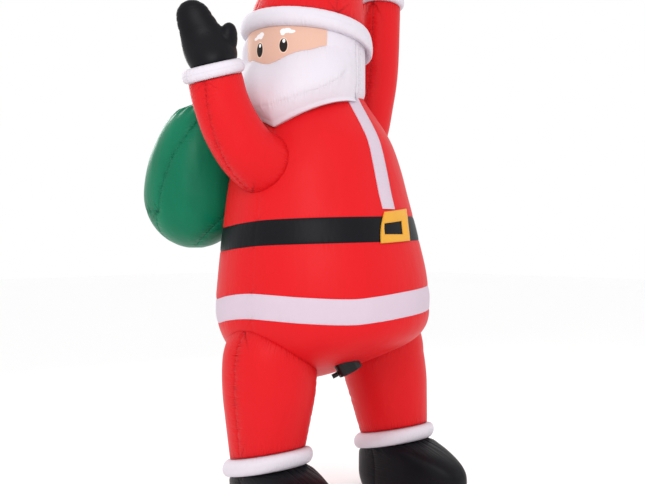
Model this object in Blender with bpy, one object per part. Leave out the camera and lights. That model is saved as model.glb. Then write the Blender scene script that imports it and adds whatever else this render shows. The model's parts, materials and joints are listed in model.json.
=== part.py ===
"""An inflatable Santa for the garden, 2.4 m tall, standing with both arms raised.

Metres, +Z up. The figure faces -Y and its own right is at -X. It is sewn from panels of
cloth and blown tight, so each panel section is a solid with puffed, seamless sides. Its head
is turned to its right, a sack hangs on its back and a small fan sits in its seat.
"""
import math

import bmesh
import bpy
from mathutils import Matrix, Vector

# Clearance between neighbouring pieces, how far cutters reach past what they cut, and how finely
# round things are cut.
GAP = 0.0004
CUTTER_OVER = 0.05
CUTTER_REACH = 0.30
TRUNK_SIDES = 34
LIMB_SIDES = 18
SMALL_SIDES = 14
SACK_SIDES = 20
BLOWER_SIDES = 20
GLAND_SIDES = 10

# Trunk: heights of its levels, and its half breadths at the belly.
NECK_HEIGHT = 1.64
BELLY_HEIGHT = 0.86
SEAT_HEIGHT = 0.80
SEAT_DEPTH = 0.28
SEAT_SLOPE_FRONT = 0.25
SEAT_SLOPE_LEFT = 0.08
BELLY_SIDE = 0.42
BELLY_FRONT = 0.462
BELLY_BACK = 0.388
# From the seat's bottom (0) to the hem (1): where the seat is sliced.
SEAT_SLICES = (0.04, 0.15, 0.34, 0.58, 0.79, 1.0)
# From the belly (0) to the neck (1): shares of the half breadths to the side, front and back.
TRUNK_SHAPE = (
    (0.00, 1.000, 1.000, 1.000),
    (0.13, 0.976, 0.963, 0.982),
    (0.27, 0.940, 0.894, 0.972),
    (0.42, 0.890, 0.820, 0.968),
    (0.50, 0.862, 0.778, 0.966),
    (0.63, 0.798, 0.722, 0.950),
    (0.75, 0.710, 0.660, 0.850),
    (0.83, 0.640, 0.585, 0.720),
    (0.95, 0.490, 0.450, 0.520),
    (1.00, 0.430, 0.400, 0.460),
)

# Seams of the trunk: their heights, and how much each rises at some degrees round from the front.
BELT_BOTTOM = 1.056
BELT_WIDTH = 0.093
BELT_WAVE = (
    (-180, -0.034), (-113, -0.026), (-91, -0.014), (-76, -0.005), (-54, 0.001), (-34, 0.005),
    (-10, 0.009), (25, 0.015), (60, 0.016), (91, 0.008), (113, -0.006), (180, -0.034),
)
HEM_BOTTOM = 0.778
HEM_WIDTH = 0.092
HEM_WAVE = (
    (-180, -0.036), (-118, -0.026), (-97, -0.005), (-82, 0.007), (-70, 0.006), (-54, 0.000),
    (-30, -0.006), (-17, 0.002), (0, 0.014), (25, 0.024), (50, 0.026), (82, 0.022),
    (118, -0.006), (180, -0.036),
)

# Placket and buckle, on the front of the trunk. The buckle's corners are measured from the middle
# of the belt, to the figure's left and up.
PLACKET_WIDTH = 0.072
PLACKET_THICK = 0.012
PLACKET_PROUD = 0.002
PLACKET_ROOM = 0.004
PLACKET_OVER_BELT = 0.074
PLACKET_TO_NECK = 0.004
BUCKLE_OUTER = ((-0.083, -0.051), (0.094, -0.047), (0.125, 0.075), (-0.030, 0.064))
BUCKLE_INNER = ((-0.055, -0.018), (0.051, -0.021), (0.062, 0.028), (-0.050, 0.020))
BUCKLE_THICK = 0.010
BUCKLE_STANDOFF = 0.0016
BUCKLE_SKEW = 0.016

# Legs, their cuffs and boots. Each leg starts inside the seat, a little narrower and nearer
# the middle, so that it comes out from under the hem.
LEG_ROOT_HEIGHT = 0.74
LEG_ROOT_INSET = 0.032
LEG_ROOT_RADIUS = 0.166
LEG_TOP_HEIGHT = 0.60
LEG_KNEE_HEIGHT = 0.50
LEG_CALF_HEIGHT = 0.40
LEG_TOP_RADIUS = 0.180
LEG_KNEE_RADIUS = 0.176
LEG_CALF_RADIUS = 0.162
LEG_ANKLE_RADIUS = 0.142
CUFF_MIDDLE_HEIGHT = 0.240
CUFF_WIDTH = 0.064
CUFF_PUFF = 0.028
CUFF_SLOPE = 0.24
RIGHT_LEG_FOOT = (-0.290, -0.030)
LEFT_LEG_FOOT = (0.360, -0.092)
RIGHT_LEG_HIP = (-0.278, -0.028)
LEFT_LEG_HIP = (0.315, -0.060)
BOOT_SHAFT_RADIUS = 0.142
BOOT_TOE_REACH = 0.362
BOOT_HEEL_REACH = 0.160
BOOT_HALF_WIDTH = 0.122
BOOT_NOSE_HEIGHT = 0.100
BOOT_SOLE_INSET = 0.022
# Where the boot is sliced, as shares of its height; how far up its sides draw in to the sole; how
# straight its instep falls; and how square its sides are.
BOOT_SLICES = (0.0, 0.06, 0.22, 0.48, 0.66, 0.80, 0.91, 1.0)
BOOT_SOLE_SHARE = 0.42
BOOT_INSTEP = 2.8
BOOT_SQUARE = 0.78

# Head, turned to the figure's right, with its face, beard and hat.
HEAD_X, HEAD_Y = -0.045, 0.020
HEAD_TURN = 73.0
HEAD_RADIUS = 0.236
HEAD_BOTTOM = 1.595
FACE_HALF_ANGLE = 49.0
FACE_DEPTH = 0.056
FACE_ROOM = 0.020
HAIR_DEPTH = 0.060
FACE_LOW_MIDDLE = 1.728
FACE_LOW_SIDE = 1.797
BEARD_HALF_ANGLE = 84.0
BEARD_PUFF = 0.052
BEARD_EDGE = 0.005
BEARD_TIP_HEIGHT = 1.494
BEARD_SIDE_HEIGHT = 1.604
# The hair puffs out beside the face, on the figure's right only.
HAIR_PUFF = 0.026
HAIR_PUFF_ANGLE = -66.0
HAIR_PUFF_SPREAD = 18.0
# From the beard's edge (0) up to the seam under the face (1): where its front is sliced.
BEARD_SLICES = (0.0, 0.12, 0.3, 0.5, 0.7, 0.88, 1.0)
# The head's rounded underside: heights over its bottom, and shares of its radius.
HEAD_ROUNDING = ((0.0, 0.84), (0.020, 0.93), (0.060, 0.99), (0.140, 1.0))
# The brim sits on a plane that rises towards one side of the face, and droops at the other.
BRIM_BOTTOM = 1.857
BRIM_WIDTH = 0.075
BRIM_PUFF = 0.034
BRIM_RISE = 0.0255
BRIM_RISE_ANGLE = -35.0
BRIM_DROOP = 0.045
DROOP_SHARE = 0.77
HAT_RADIUS = 0.228
HAT_TOP = 2.350
HAT_LEAN = (0.078, -0.034)
HAT_SLICES = (0.0, 0.10, 0.26, 0.46, 0.66, 0.84, 0.96)
HAT_POINT = 0.65
POMPOM_RADIUS = 0.072

# Arms: points along the middle of each and the radius there.
RIGHT_ARM = (
    (-0.180, -0.035, 1.320, 0.124),
    (-0.285, -0.032, 1.345, 0.123),
    (-0.374, -0.020, 1.393, 0.113),
    (-0.440, -0.005, 1.480, 0.107),
    (-0.485, 0.000, 1.570, 0.101),
    (-0.513, 0.000, 1.655, 0.099),
)
LEFT_ARM = (
    (0.130, 0.010, 1.350, 0.098),
    (0.225, 0.012, 1.430, 0.096),
    (0.305, 0.016, 1.530, 0.090),
    (0.350, 0.020, 1.650, 0.087),
    (0.388, 0.026, 1.820, 0.090),
    (0.416, 0.035, 2.105, 0.089),
)
ARM_CUFF_WIDTH = 0.050
ARM_CUFF_PUFF = 0.018
MITTEN_LENGTH = 0.235
MITTEN_HALF_WIDTH = 0.093
MITTEN_HALF_THICK = 0.046
MITTEN_SHIFT = 0.010
PALM_TURN = 44.0
# From the wrist (0) to the finger tips (1): shares of the half width and thickness, and the drift
# away from the thumb.
MITTEN_SHAPE = (
    (0.00, 0.92, 1.00, 0.00),
    (0.12, 1.00, 1.00, 0.01),
    (0.30, 1.02, 0.98, 0.02),
    (0.50, 0.90, 0.95, 0.06),
    (0.68, 0.78, 0.88, 0.12),
    (0.84, 0.62, 0.70, 0.16),
    (0.95, 0.36, 0.42, 0.18),
)
MITTEN_TIP_DRIFT = 0.18
# The thumb starts at shares of the hand's length and half width, and leans out by a share.
THUMB_START = 0.10
THUMB_ASIDE = 0.50
THUMB_LEAN = 0.36
THUMB_LENGTH = 0.112
THUMB_RADIUS = 0.036
THUMB_SHAPE = ((0.0, 0.9), (0.3, 1.0), (0.6, 0.95), (0.82, 0.72), (0.95, 0.40))

# Sack on the back: wide and shallow, drawn in at its neck.
SACK_X, SACK_Y = -0.270, 0.470
SACK_BOTTOM = 1.039
SACK_HEIGHT = 0.595
SACK_HALF_WIDTH = 0.215
SACK_HALF_DEPTH = 0.210
SACK_NECK_RADIUS = 0.060
SACK_NECK_LENGTH = 0.075
SACK_NECK_LEAN = -0.160
# Shares of the sack's height: where it is widest, and where it and its gathered neck are sliced.
SACK_MIDDLE = 0.38
SACK_SLICES = (0.02, 0.08, 0.18, 0.32, 0.48, 0.64, 0.78, 0.89, 0.96)
SACK_NECK_SLICES = ((0.0, 1.0), (0.4, 0.86), (1.0, 1.25))

# Fan in the seat, between the legs.
BLOWER_X, BLOWER_Y = -0.075, -0.238
BLOWER_TILT = 28.0
BLOWER_TURN = 45.0
BLOWER_RADIUS = 0.048
BLOWER_PROUD = 0.028
BLOWER_DEPTH = 0.090
BLOWER_RIM = 0.006
BLOWER_MOUTH = 0.012
GRILLE_THICK = 0.004
GLAND_RADIUS = 0.009
GLAND_LENGTH = 0.022

COLOURS = {
    "red_cloth": ((0.800, 0.020, 0.026), 0.45),
    "white_cloth": ((0.840, 0.760, 0.830), 0.50),
    "black_cloth": ((0.016, 0.015, 0.018), 0.45),
    "green_cloth": ((0.010, 0.230, 0.120), 0.45),
    "gold_cloth": ((0.780, 0.420, 0.055), 0.45),
    "peach_cloth": ((0.840, 0.500, 0.340), 0.55),
    "black_plastic": ((0.012, 0.012, 0.013), 0.35),
}


def clear_scene():
    for old in list(bpy.data.objects):
        bpy.data.objects.remove(old, do_unlink=True)


def cloth(name):
    """A material of its own for one piece, from the colour of its cloth."""
    colour, roughness = COLOURS[name]
    made = bpy.data.materials.new(name)
    made.use_nodes = True
    shader = made.node_tree.nodes["Principled BSDF"]
    shader.inputs["Base Color"].default_value = (*colour, 1)
    shader.inputs["Roughness"].default_value = roughness
    shader.inputs["Metallic"].default_value = 0.0
    return made


def add_piece(name, bm, colour):
    """Turns a bmesh into a closed, outward-facing, smooth-shaded object of one colour."""
    bmesh.ops.recalc_face_normals(bm, faces=bm.faces)
    mesh = bpy.data.meshes.new(name)
    bm.to_mesh(mesh)
    bm.free()
    mesh.shade_smooth()
    mesh.set_sharp_from_angle(angle=math.radians(40))
    mesh.materials.append(cloth(colour))
    piece = bpy.data.objects.new(name, mesh)
    bpy.context.scene.collection.objects.link(piece)
    return piece


def as_cutter(piece):
    """Keeps a helper out of the finished model."""
    piece.hide_render = True
    piece.display_type = "WIRE"
    return piece


def cut(piece, *cutters):
    for cutter in cutters:
        boolean = piece.modifiers.new(f"less_{cutter.name}", "BOOLEAN")
        boolean.operation = "DIFFERENCE"
        boolean.solver = "EXACT"
        boolean.object = cutter


def join(piece, other):
    boolean = piece.modifiers.new(f"with_{other.name}", "BOOLEAN")
    boolean.operation = "UNION"
    boolean.solver = "EXACT"
    boolean.object = other


def middle_of(points):
    return sum((Vector(point) for point in points), Vector()) / len(points)


def loft(name, rings, colour, low_point=None, high_point=None, flat_ends=False):
    """A closed body through rings of equal count, ended at poles or by flat faces.

    Every side is cut into triangles the same way, so that neighbours match along a seam.
    """
    bm = bmesh.new()
    loops = [[bm.verts.new(point) for point in points] for points in rings]
    count = len(loops[0])
    for low, high in zip(loops, loops[1:]):
        for i in range(count):
            j = (i + 1) % count
            bm.faces.new((low[i], low[j], high[j]))
            bm.faces.new((low[i], high[j], high[i]))
    for loop, points, pole in ((loops[0], rings[0], low_point), (loops[-1], rings[-1], high_point)):
        if flat_ends:
            bm.faces.new(loop)
            continue
        tip = bm.verts.new(pole or middle_of(points))
        for i in range(count):
            bm.faces.new((loop[i], loop[(i + 1) % count], tip))
    return add_piece(name, bm, colour)


def smooth_row(rows, at):
    """The row of a table of shapes at a place between its rows, along smooth curves."""
    at = min(max(at, rows[0][0]), rows[-1][0])
    index = next(i for i in range(len(rows) - 1) if at <= rows[i + 1][0])
    low, high = rows[index], rows[index + 1]
    before = rows[max(index - 1, 0)]
    after = rows[min(index + 2, len(rows) - 1)]
    span = high[0] - low[0]
    t = (at - low[0]) / span
    values = []
    for k in range(1, len(low)):
        slope_low = (high[k] - before[k]) / (high[0] - before[0]) * span
        slope_high = (after[k] - low[k]) / (after[0] - low[0]) * span
        values.append(
            (2 * t**3 - 3 * t**2 + 1) * low[k]
            + (t**3 - 2 * t**2 + t) * slope_low
            + (3 * t**2 - 2 * t**3) * high[k]
            + (t**3 - t**2) * slope_high
        )
    return values


def dome(share):
    """The half breadth left at a share of the way up a dome."""
    return math.sqrt(max(0.0, 1.0 - min(1.0, share) ** 2))


def trunk_breadths(height):
    """Half breadths of the trunk to the side, front and back at a height."""
    share = (height - BELLY_HEIGHT) / (NECK_HEIGHT - BELLY_HEIGHT)
    side, front, back = smooth_row(TRUNK_SHAPE, share)
    under = dome((SEAT_HEIGHT - height) / SEAT_DEPTH) if height < SEAT_HEIGHT else 1.0
    return side * BELLY_SIDE * under, front * BELLY_FRONT * under, back * BELLY_BACK * under


def trunk_point(angle, height, proud=0.0):
    """Point on the trunk. Its angle is 0 at the front and grows towards the figure's left."""
    side, front, back = trunk_breadths(height)
    reach = front if math.cos(angle) > 0 else back
    out = Vector((side * math.sin(angle), -reach * math.cos(angle), 0))
    if proud and out.length > 0:
        out += out.normalized() * proud
    return Vector((out.x, out.y, height + seat_rise(out.x, out.y, height)))


def seat_rise(x, y, height):
    """How much the underside of the seat is higher towards the front and the left."""
    share = max(0.0, (SEAT_HEIGHT - height) / SEAT_DEPTH)
    return (SEAT_SLOPE_LEFT * x - SEAT_SLOPE_FRONT * y) * share**2


def waved(height, wave):
    """A seam of the trunk: its height at each angle, with its wave."""
    def seam(angle):
        degrees = math.degrees(angle)
        return height + smooth_row(wave, degrees - 360 if degrees > 180 else degrees)[0]
    return seam


def belt_seam(height):
    return waved(height, BELT_WAVE)


def hem_seam(height):
    return waved(height, HEM_WAVE)


def level(height):
    return lambda angle: height


def turns(count):
    return [2 * math.pi * i / count for i in range(count)]


def trunk_band(name, low_seam, high_seam, rings, colour, proud=0.0):
    """The part of the trunk between two seams, each a height for every angle."""
    points = []
    for k in range(rings + 1):
        share = k / rings
        points.append([
            trunk_point(angle, low_seam(angle) * (1 - share) + high_seam(angle) * share, proud)
            for angle in turns(TRUNK_SIDES)
        ])
    return loft(name, points, colour)


def below(seam):
    return lambda angle: seam(angle) - GAP / 2


def above(seam):
    return lambda angle: seam(angle) + GAP / 2


def seat_rings(top_seam, proud=0.0):
    """Rings from just over the seat's bottom up to the hem."""
    bottom = SEAT_HEIGHT - SEAT_DEPTH
    rings = []
    for share in SEAT_SLICES:
        rings.append([
            trunk_point(angle, bottom + (top_seam(angle) - bottom) * share, proud)
            for angle in turns(TRUNK_SIDES)
        ])
    return rings


def make_trunk():
    """The trunk's bands, and a cutter in the shape of the whole trunk with its clearance."""
    hem_low, hem_high = hem_seam(HEM_BOTTOM), hem_seam(HEM_BOTTOM + HEM_WIDTH)
    belt_low, belt_high = belt_seam(BELT_BOTTOM), belt_seam(BELT_BOTTOM + BELT_WIDTH)
    centre = Vector((0, 0, SEAT_HEIGHT - SEAT_DEPTH))
    seat = loft("trouser_seat", seat_rings(below(hem_low)), "red_cloth", low_point=centre)
    trunk_band("hem_band", above(hem_low), below(hem_high), 2, "white_cloth")
    trunk_band("jacket_skirt", above(hem_high), below(belt_low), 3, "red_cloth")
    trunk_band("belt", above(belt_low), below(belt_high), 2, "black_cloth")
    jacket = trunk_band("jacket", above(belt_high), level(NECK_HEIGHT), 8, "red_cloth")

    rings = seat_rings(hem_low, GAP)
    for low, high, count in (
        (hem_low, hem_high, 2),
        (hem_high, belt_low, 3),
        (belt_low, belt_high, 2),
        (belt_high, level(NECK_HEIGHT + GAP), 8),
    ):
        for k in range(1, count + 1):
            share = k / count
            rings.append([
                trunk_point(angle, low(angle) * (1 - share) + high(angle) * share, GAP)
                for angle in turns(TRUNK_SIDES)
            ])
    whole = loft("trunk_clearance", rings, "red_cloth", low_point=centre - Vector((0, 0, GAP)))
    return seat, jacket, as_cutter(whole)


def front_patch(name, half_width, heights, low_out, high_out, colour):
    """A strip on the front of the trunk, between two distances from its skin."""
    def row(height, out):
        points = []
        for k in range(-1, 2):
            front = trunk_breadths(height)[1]
            angle = k * half_width / front
            points.append(trunk_point(angle, height, out))
        return points

    rings = []
    for height in heights:
        rings.append(row(height, low_out) + list(reversed(row(height, high_out))))
    return loft(name, rings, colour, flat_ends=True)


def make_placket(jacket):
    """The white strip down the front, let into the jacket from the belt to the neck."""
    low = belt_seam(BELT_BOTTOM + BELT_WIDTH / 2)(0) + PLACKET_OVER_BELT
    high = NECK_HEIGHT - PLACKET_TO_NECK
    count = 8
    heights = [low + (high - low) * k / count for k in range(count + 1)]
    half = PLACKET_WIDTH / 2
    front_patch("placket", half, heights, PLACKET_PROUD - PLACKET_THICK, PLACKET_PROUD, "white_cloth")
    room = [low - GAP] + heights + [high + CUTTER_OVER]
    slot = front_patch(
        "placket_slot", half + GAP, room, PLACKET_PROUD - PLACKET_THICK - GAP,
        PLACKET_PROUD + PLACKET_ROOM, "white_cloth",
    )
    cut(jacket, as_cutter(slot))
    return slot


def make_buckle():
    """A crooked frame of gold cloth on the belt, open in the middle."""
    middle = belt_seam(BELT_BOTTOM + BELT_WIDTH / 2)(0)
    steps = 4

    def outline(corners, out):
        points = []
        for (x0, z0), (x1, z1) in zip(corners, corners[1:] + corners[:1]):
            for k in range(steps):
                share = k / steps
                across = x0 + (x1 - x0) * share
                up = z0 + (z1 - z0) * share
                front = trunk_breadths(middle)[1]
                at = middle + up + BUCKLE_SKEW * across / front
                points.append(trunk_point(across / front, at, out))
        return points

    low, high = BUCKLE_STANDOFF, BUCKLE_STANDOFF + BUCKLE_THICK
    loops = [
        outline(BUCKLE_OUTER, low),
        outline(BUCKLE_OUTER, high),
        outline(BUCKLE_INNER, high),
        outline(BUCKLE_INNER, low),
    ]
    bm = bmesh.new()
    made = [[bm.verts.new(point) for point in loop] for loop in loops]
    count = len(made[0])
    for first, second in zip(made, made[1:] + made[:1]):
        for i in range(count):
            j = (i + 1) % count
            bm.faces.new((first[i], first[j], second[j], second[i]))
    return add_piece("belt_buckle", bm, "gold_cloth")


def frames_along(points):
    """A turned frame at each point of a path, without twist between neighbours."""
    tangents = []
    for i in range(len(points)):
        tangents.append((points[min(i + 1, len(points) - 1)] - points[max(i - 1, 0)]).normalized())
    side = Vector((0, 1, 0)).cross(tangents[0]).normalized()
    frames = []
    for i, tangent in enumerate(tangents):
        if i:
            side = tangents[i - 1].rotation_difference(tangent) @ side
        frames.append((points[i], side, tangent.cross(side), tangent))
    return frames


def ring_at(centre, side, across, radius, count):
    return [
        centre + side * radius * math.cos(angle) + across * radius * math.sin(angle)
        for angle in turns(count)
    ]


def limb_rings(stations, count, steps=2):
    """Rings along a limb, with extra ones between the given stations."""
    table = [(i, *station) for i, station in enumerate(stations)]
    rows = [smooth_row(table, k / steps) for k in range((len(stations) - 1) * steps + 1)]
    frames = frames_along([Vector(row[:3]) for row in rows])
    rings = [
        ring_at(centre, side, across, row[3], count)
        for (centre, side, across, tangent), row in zip(frames, rows)
    ]
    return rings, frames[-1]


def puffed_band(
    name, centre, side, across, axis, radii, width, puff, colour, count, rise=0.0, turn=0.0, droop=0.0
):
    """A band that bulges between its two seams, at right angles to an axis.

    It is tilted to rise by a share of the way to one side, which may be turned from the ring's
    start. Opposite that side it may droop.
    """
    rings = []
    steps = 6
    for k in range(steps + 1):
        swing = math.pi * k / steps
        share = (1 - math.cos(swing)) / 2
        along = (share - 0.5) * (width - GAP)
        radius = radii[0] + (radii[1] - radii[0]) * share + puff * math.sin(swing) ** 0.8
        sag = droop * math.sin(swing) * (1 + math.cos(swing)) * DROOP_SHARE
        ring = ring_at(centre + axis * along, side, across, radius, count)
        rings.append([
            point + axis * (rise * radius * math.cos(angle - turn) - sag * far_side(angle - turn))
            for point, angle in zip(ring, turns(count))
        ])
    return loft(name, rings, colour)


def far_side(angle):
    """Nearly nothing on one side of a ring, and 1 at the other."""
    return ((1 - math.cos(angle)) / 2) ** 4


def make_leg(name, hip, foot, trunk):
    """A tube from inside the seat down to the sloping top of its cuff."""
    top = CUFF_MIDDLE_HEIGHT + CUFF_WIDTH / 2
    inward = -math.copysign(LEG_ROOT_INSET, hip[0])
    stations = (
        (LEG_ROOT_HEIGHT, LEG_ROOT_RADIUS, inward),
        ((LEG_ROOT_HEIGHT + LEG_TOP_HEIGHT) / 2, (LEG_ROOT_RADIUS + LEG_TOP_RADIUS * 3) / 4, inward / 4),
        (LEG_TOP_HEIGHT, LEG_TOP_RADIUS, 0.0),
        (LEG_KNEE_HEIGHT, LEG_KNEE_RADIUS, 0.0),
        (LEG_CALF_HEIGHT, LEG_CALF_RADIUS, 0.0),
        (top, LEG_ANKLE_RADIUS, 0.0),
    )
    rings = []
    for height, radius, aside in stations:
        share = max(0.0, (LEG_TOP_HEIGHT - height) / (LEG_TOP_HEIGHT - top))
        place = [a + (b - a) * share for a, b in zip(hip, foot)]
        slope = CUFF_SLOPE * share**2
        ring = []
        for angle in turns(LIMB_SIDES):
            x, y = radius * math.sin(angle), -radius * math.cos(angle)
            ring.append(Vector((place[0] + aside + x, place[1] + y, height - slope * y)))
        rings.append(ring)
    leg = loft(name, list(reversed(rings)), "red_cloth")
    cut(leg, trunk)
    return leg


def make_leg_cuff(name, foot):
    axis = Vector((0, 0, 1))
    centre = Vector((*foot, CUFF_MIDDLE_HEIGHT))
    puffed_band(
        name, centre, Vector((0, -1, 0)), Vector((1, 0, 0)), axis,
        (BOOT_SHAFT_RADIUS, LEG_ANKLE_RADIUS), CUFF_WIDTH - GAP, CUFF_PUFF,
        "white_cloth", LIMB_SIDES, rise=CUFF_SLOPE,
    )


def make_boot(name, foot):
    """A fat boot: level slices from the flat sole up to the sloping ankle seam."""
    top = CUFF_MIDDLE_HEIGHT - CUFF_WIDTH / 2 - GAP
    nose = BOOT_NOSE_HEIGHT / top
    rings = []
    for share in BOOT_SLICES:
        bulge = 1.0 - max(0.0, (share - nose) / (1 - nose)) ** BOOT_INSTEP
        inset = BOOT_SOLE_INSET * (1 - min(1.0, share / BOOT_SOLE_SHARE)) ** 2
        reach = BOOT_SHAFT_RADIUS + (BOOT_TOE_REACH - BOOT_SHAFT_RADIUS) * bulge - inset
        heel = BOOT_SHAFT_RADIUS + (BOOT_HEEL_REACH - BOOT_SHAFT_RADIUS) * bulge - inset
        half = BOOT_SHAFT_RADIUS + (BOOT_HALF_WIDTH - BOOT_SHAFT_RADIUS) * bulge - inset
        ring = []
        for angle in turns(LIMB_SIDES + 4):
            swell = BOOT_SQUARE if bulge > 0.3 else 1.0
            forward = math.cos(angle)
            aside = math.copysign(abs(math.sin(angle)) ** swell, math.sin(angle))
            y = -reach * forward if forward > 0 else -heel * forward
            lean = max(-BOOT_SHAFT_RADIUS, min(BOOT_SHAFT_RADIUS, y))
            z = top * share - CUFF_SLOPE * lean * share**3
            ring.append(Vector((foot[0] + half * aside, foot[1] + y, z)))
        rings.append(ring)
    return loft(name, rings, "black_cloth")


def make_mitten(name, frame, thumb_side):
    """A puffed mitten: a flat round-ended hand, and a thumb fused to its side."""
    base, wide, thick, axis = frame
    base = base + axis * GAP + wide * thumb_side * MITTEN_SHIFT
    rings = []
    for share, width, depth, drift in MITTEN_SHAPE:
        centre = base + axis * MITTEN_LENGTH * share - wide * thumb_side * drift * MITTEN_HALF_WIDTH * 2
        thick_here = MITTEN_HALF_THICK + (MITTEN_HALF_WIDTH - MITTEN_HALF_THICK) * max(0.0, 1 - share * 2.5)
        rings.append([
            centre + wide * MITTEN_HALF_WIDTH * width * math.cos(angle)
            + thick * thick_here * depth * math.sin(angle)
            for angle in turns(SMALL_SIDES)
        ])
    tip = base + axis * MITTEN_LENGTH - wide * thumb_side * MITTEN_TIP_DRIFT * MITTEN_HALF_WIDTH * 2
    hand = loft(name, rings, "black_cloth", high_point=tip)

    start = base + axis * MITTEN_LENGTH * THUMB_START
    start += wide * thumb_side * MITTEN_HALF_WIDTH * THUMB_ASIDE
    way = (axis + wide * thumb_side * THUMB_LEAN).normalized()
    rings = []
    for share, radius in THUMB_SHAPE:
        centre = start + way * THUMB_LENGTH * share
        rings.append(ring_at(
            centre, way.cross(thick).normalized(), thick, THUMB_RADIUS * radius, SMALL_SIDES
        ))
    thumb = loft(name + "_thumb", rings, "black_cloth", high_point=start + way * THUMB_LENGTH)
    join(hand, as_cutter(thumb))


def make_arm(side_name, stations, thumb_side, trunk):
    """An arm from inside the trunk to the wrist, its cuff and its mitten."""
    rings, (wrist, side, across, axis) = limb_rings(stations, LIMB_SIDES)
    arm = loft(f"arm_{side_name}", rings, "red_cloth")
    cut(arm, trunk)
    radius = stations[-1][3]
    middle = wrist + axis * (ARM_CUFF_WIDTH / 2 + GAP)
    puffed_band(
        f"arm_cuff_{side_name}", middle, side, across, axis, (radius, radius * 0.95),
        ARM_CUFF_WIDTH - GAP, ARM_CUFF_PUFF, "white_cloth", LIMB_SIDES,
    )
    base = wrist + axis * (ARM_CUFF_WIDTH + GAP)
    wide = Matrix.Rotation(math.radians(-PALM_TURN), 3, "Z") @ Vector((1, 0, 0))
    wide = (wide - axis * wide.dot(axis)).normalized()
    make_mitten(f"mitten_{side_name}", (base, wide, axis.cross(wide), axis), thumb_side)


def head_way(angle):
    """Level direction from the head's middle; 0 is the way the face looks."""
    heading = math.radians(-90.0 - HEAD_TURN) + angle
    return Vector((math.cos(heading), math.sin(heading), 0))


def head_point(angle, height, radius):
    return Vector((HEAD_X, HEAD_Y, height)) + head_way(angle) * radius


def brim_seam(angle, height, radius=HEAD_RADIUS):
    """Height of the sloping plane that the brim sits on, at a point of the head."""
    return height + BRIM_RISE * math.cos(angle - math.radians(BRIM_RISE_ANGLE)) * radius / HEAD_RADIUS


def face_low(angle):
    """Height of the seam between face and beard."""
    share = min(1.0, abs(angle) / math.radians(FACE_HALF_ANGLE))
    return FACE_LOW_MIDDLE + (FACE_LOW_SIDE - FACE_LOW_MIDDLE) * share**0.8


def face_body(name, grow, colour):
    """The face panel, a curved slab let into the front of the head."""
    half = math.radians(FACE_HALF_ANGLE) + grow / HEAD_RADIUS
    steps = 8
    over = CUTTER_OVER if grow else -GAP
    inner = HEAD_RADIUS - FACE_DEPTH - grow
    outer = HEAD_RADIUS + (FACE_ROOM if grow else 0.0)
    rings = []
    for k in range(steps + 1):
        angle = -half + 2 * half * k / steps
        low = face_low(angle) - grow
        high_in = brim_seam(angle, BRIM_BOTTOM, inner) + over
        high_out = brim_seam(angle, BRIM_BOTTOM, outer) + over
        ring = [head_point(angle, low, inner), head_point(angle, low, HEAD_RADIUS)]
        if grow:
            ring.append(head_point(angle, low, outer))
        ring += [
            head_point(angle, (low + high_out) / 2, outer), head_point(angle, high_out, outer),
            head_point(angle, high_in, inner), head_point(angle, (low + high_in) / 2, inner),
        ]
        rings.append(ring)
    return loft(name, rings, colour, flat_ends=True)


def hair_puff(angle):
    """How far the hair swells out at an angle from the face."""
    share = (math.degrees(angle) - HAIR_PUFF_ANGLE) / HAIR_PUFF_SPREAD
    return HAIR_PUFF * max(0.0, 1 - share**2)


def beard_body(name, grow, colour):
    """The puffed front of the head, from the brim down to a point over the chest.

    The face's clearance is cut from it, which leaves the beard and the hair beside the face.
    """
    half = math.radians(BEARD_HALF_ANGLE) + grow / HEAD_RADIUS
    steps = 14
    inner = HEAD_RADIUS - HAIR_DEPTH - grow
    over = CUTTER_OVER if grow else -GAP
    rings = []
    for k in range(steps + 1):
        angle = -half + 2 * half * k / steps
        to_side = abs(angle) / half
        low = BEARD_TIP_HEIGHT - grow
        low += (BEARD_SIDE_HEIGHT - BEARD_TIP_HEIGHT) * math.sin(math.pi / 2 * to_side)
        seam = face_low(angle)
        puff = BEARD_PUFF * (1 - to_side**2.2)
        ring = [head_point(angle, low, inner)]
        for share in BEARD_SLICES:
            swell = math.sin(math.pi * min(1.0, share * 1.05) ** 0.75) if share < 0.95 else 0.0
            radius = HEAD_RADIUS + grow + BEARD_EDGE + puff * swell + hair_puff(angle) * share
            ring.append(head_point(angle, low + (seam - low) * share, radius))
        outer = HEAD_RADIUS + grow
        top = brim_seam(angle, BRIM_BOTTOM, outer)
        middle = HEAD_RADIUS + grow + BEARD_EDGE + hair_puff(angle)
        ring.append(head_point(angle, (seam + top) / 2, middle))
        ring.append(head_point(angle, top + over, outer))
        ring.append(head_point(angle, brim_seam(angle, BRIM_BOTTOM, inner) + over, inner))
        rings.append(ring)
    return loft(name, rings, colour, flat_ends=True)


def make_head(trunk, placket_slot):
    """The white drum of hair behind and beside the face, and what is sewn to its front."""
    rings = [
        [head_point(angle, HEAD_BOTTOM + height, HEAD_RADIUS * share) for angle in turns(TRUNK_SIDES)]
        for height, share in HEAD_ROUNDING
    ]
    rings.append([
        head_point(angle, brim_seam(angle, BRIM_BOTTOM) - GAP, HEAD_RADIUS)
        for angle in turns(TRUNK_SIDES)
    ])
    head = loft("head", rings, "white_cloth")
    face_body("face", 0.0, "peach_cloth")
    beard = beard_body("beard", 0.0, "white_cloth")
    cut(head, trunk, placket_slot, as_cutter(beard_body("beard_room", GAP, "white_cloth")))
    cut(beard, trunk, placket_slot, as_cutter(face_body("face_room", GAP, "peach_cloth")))


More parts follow.
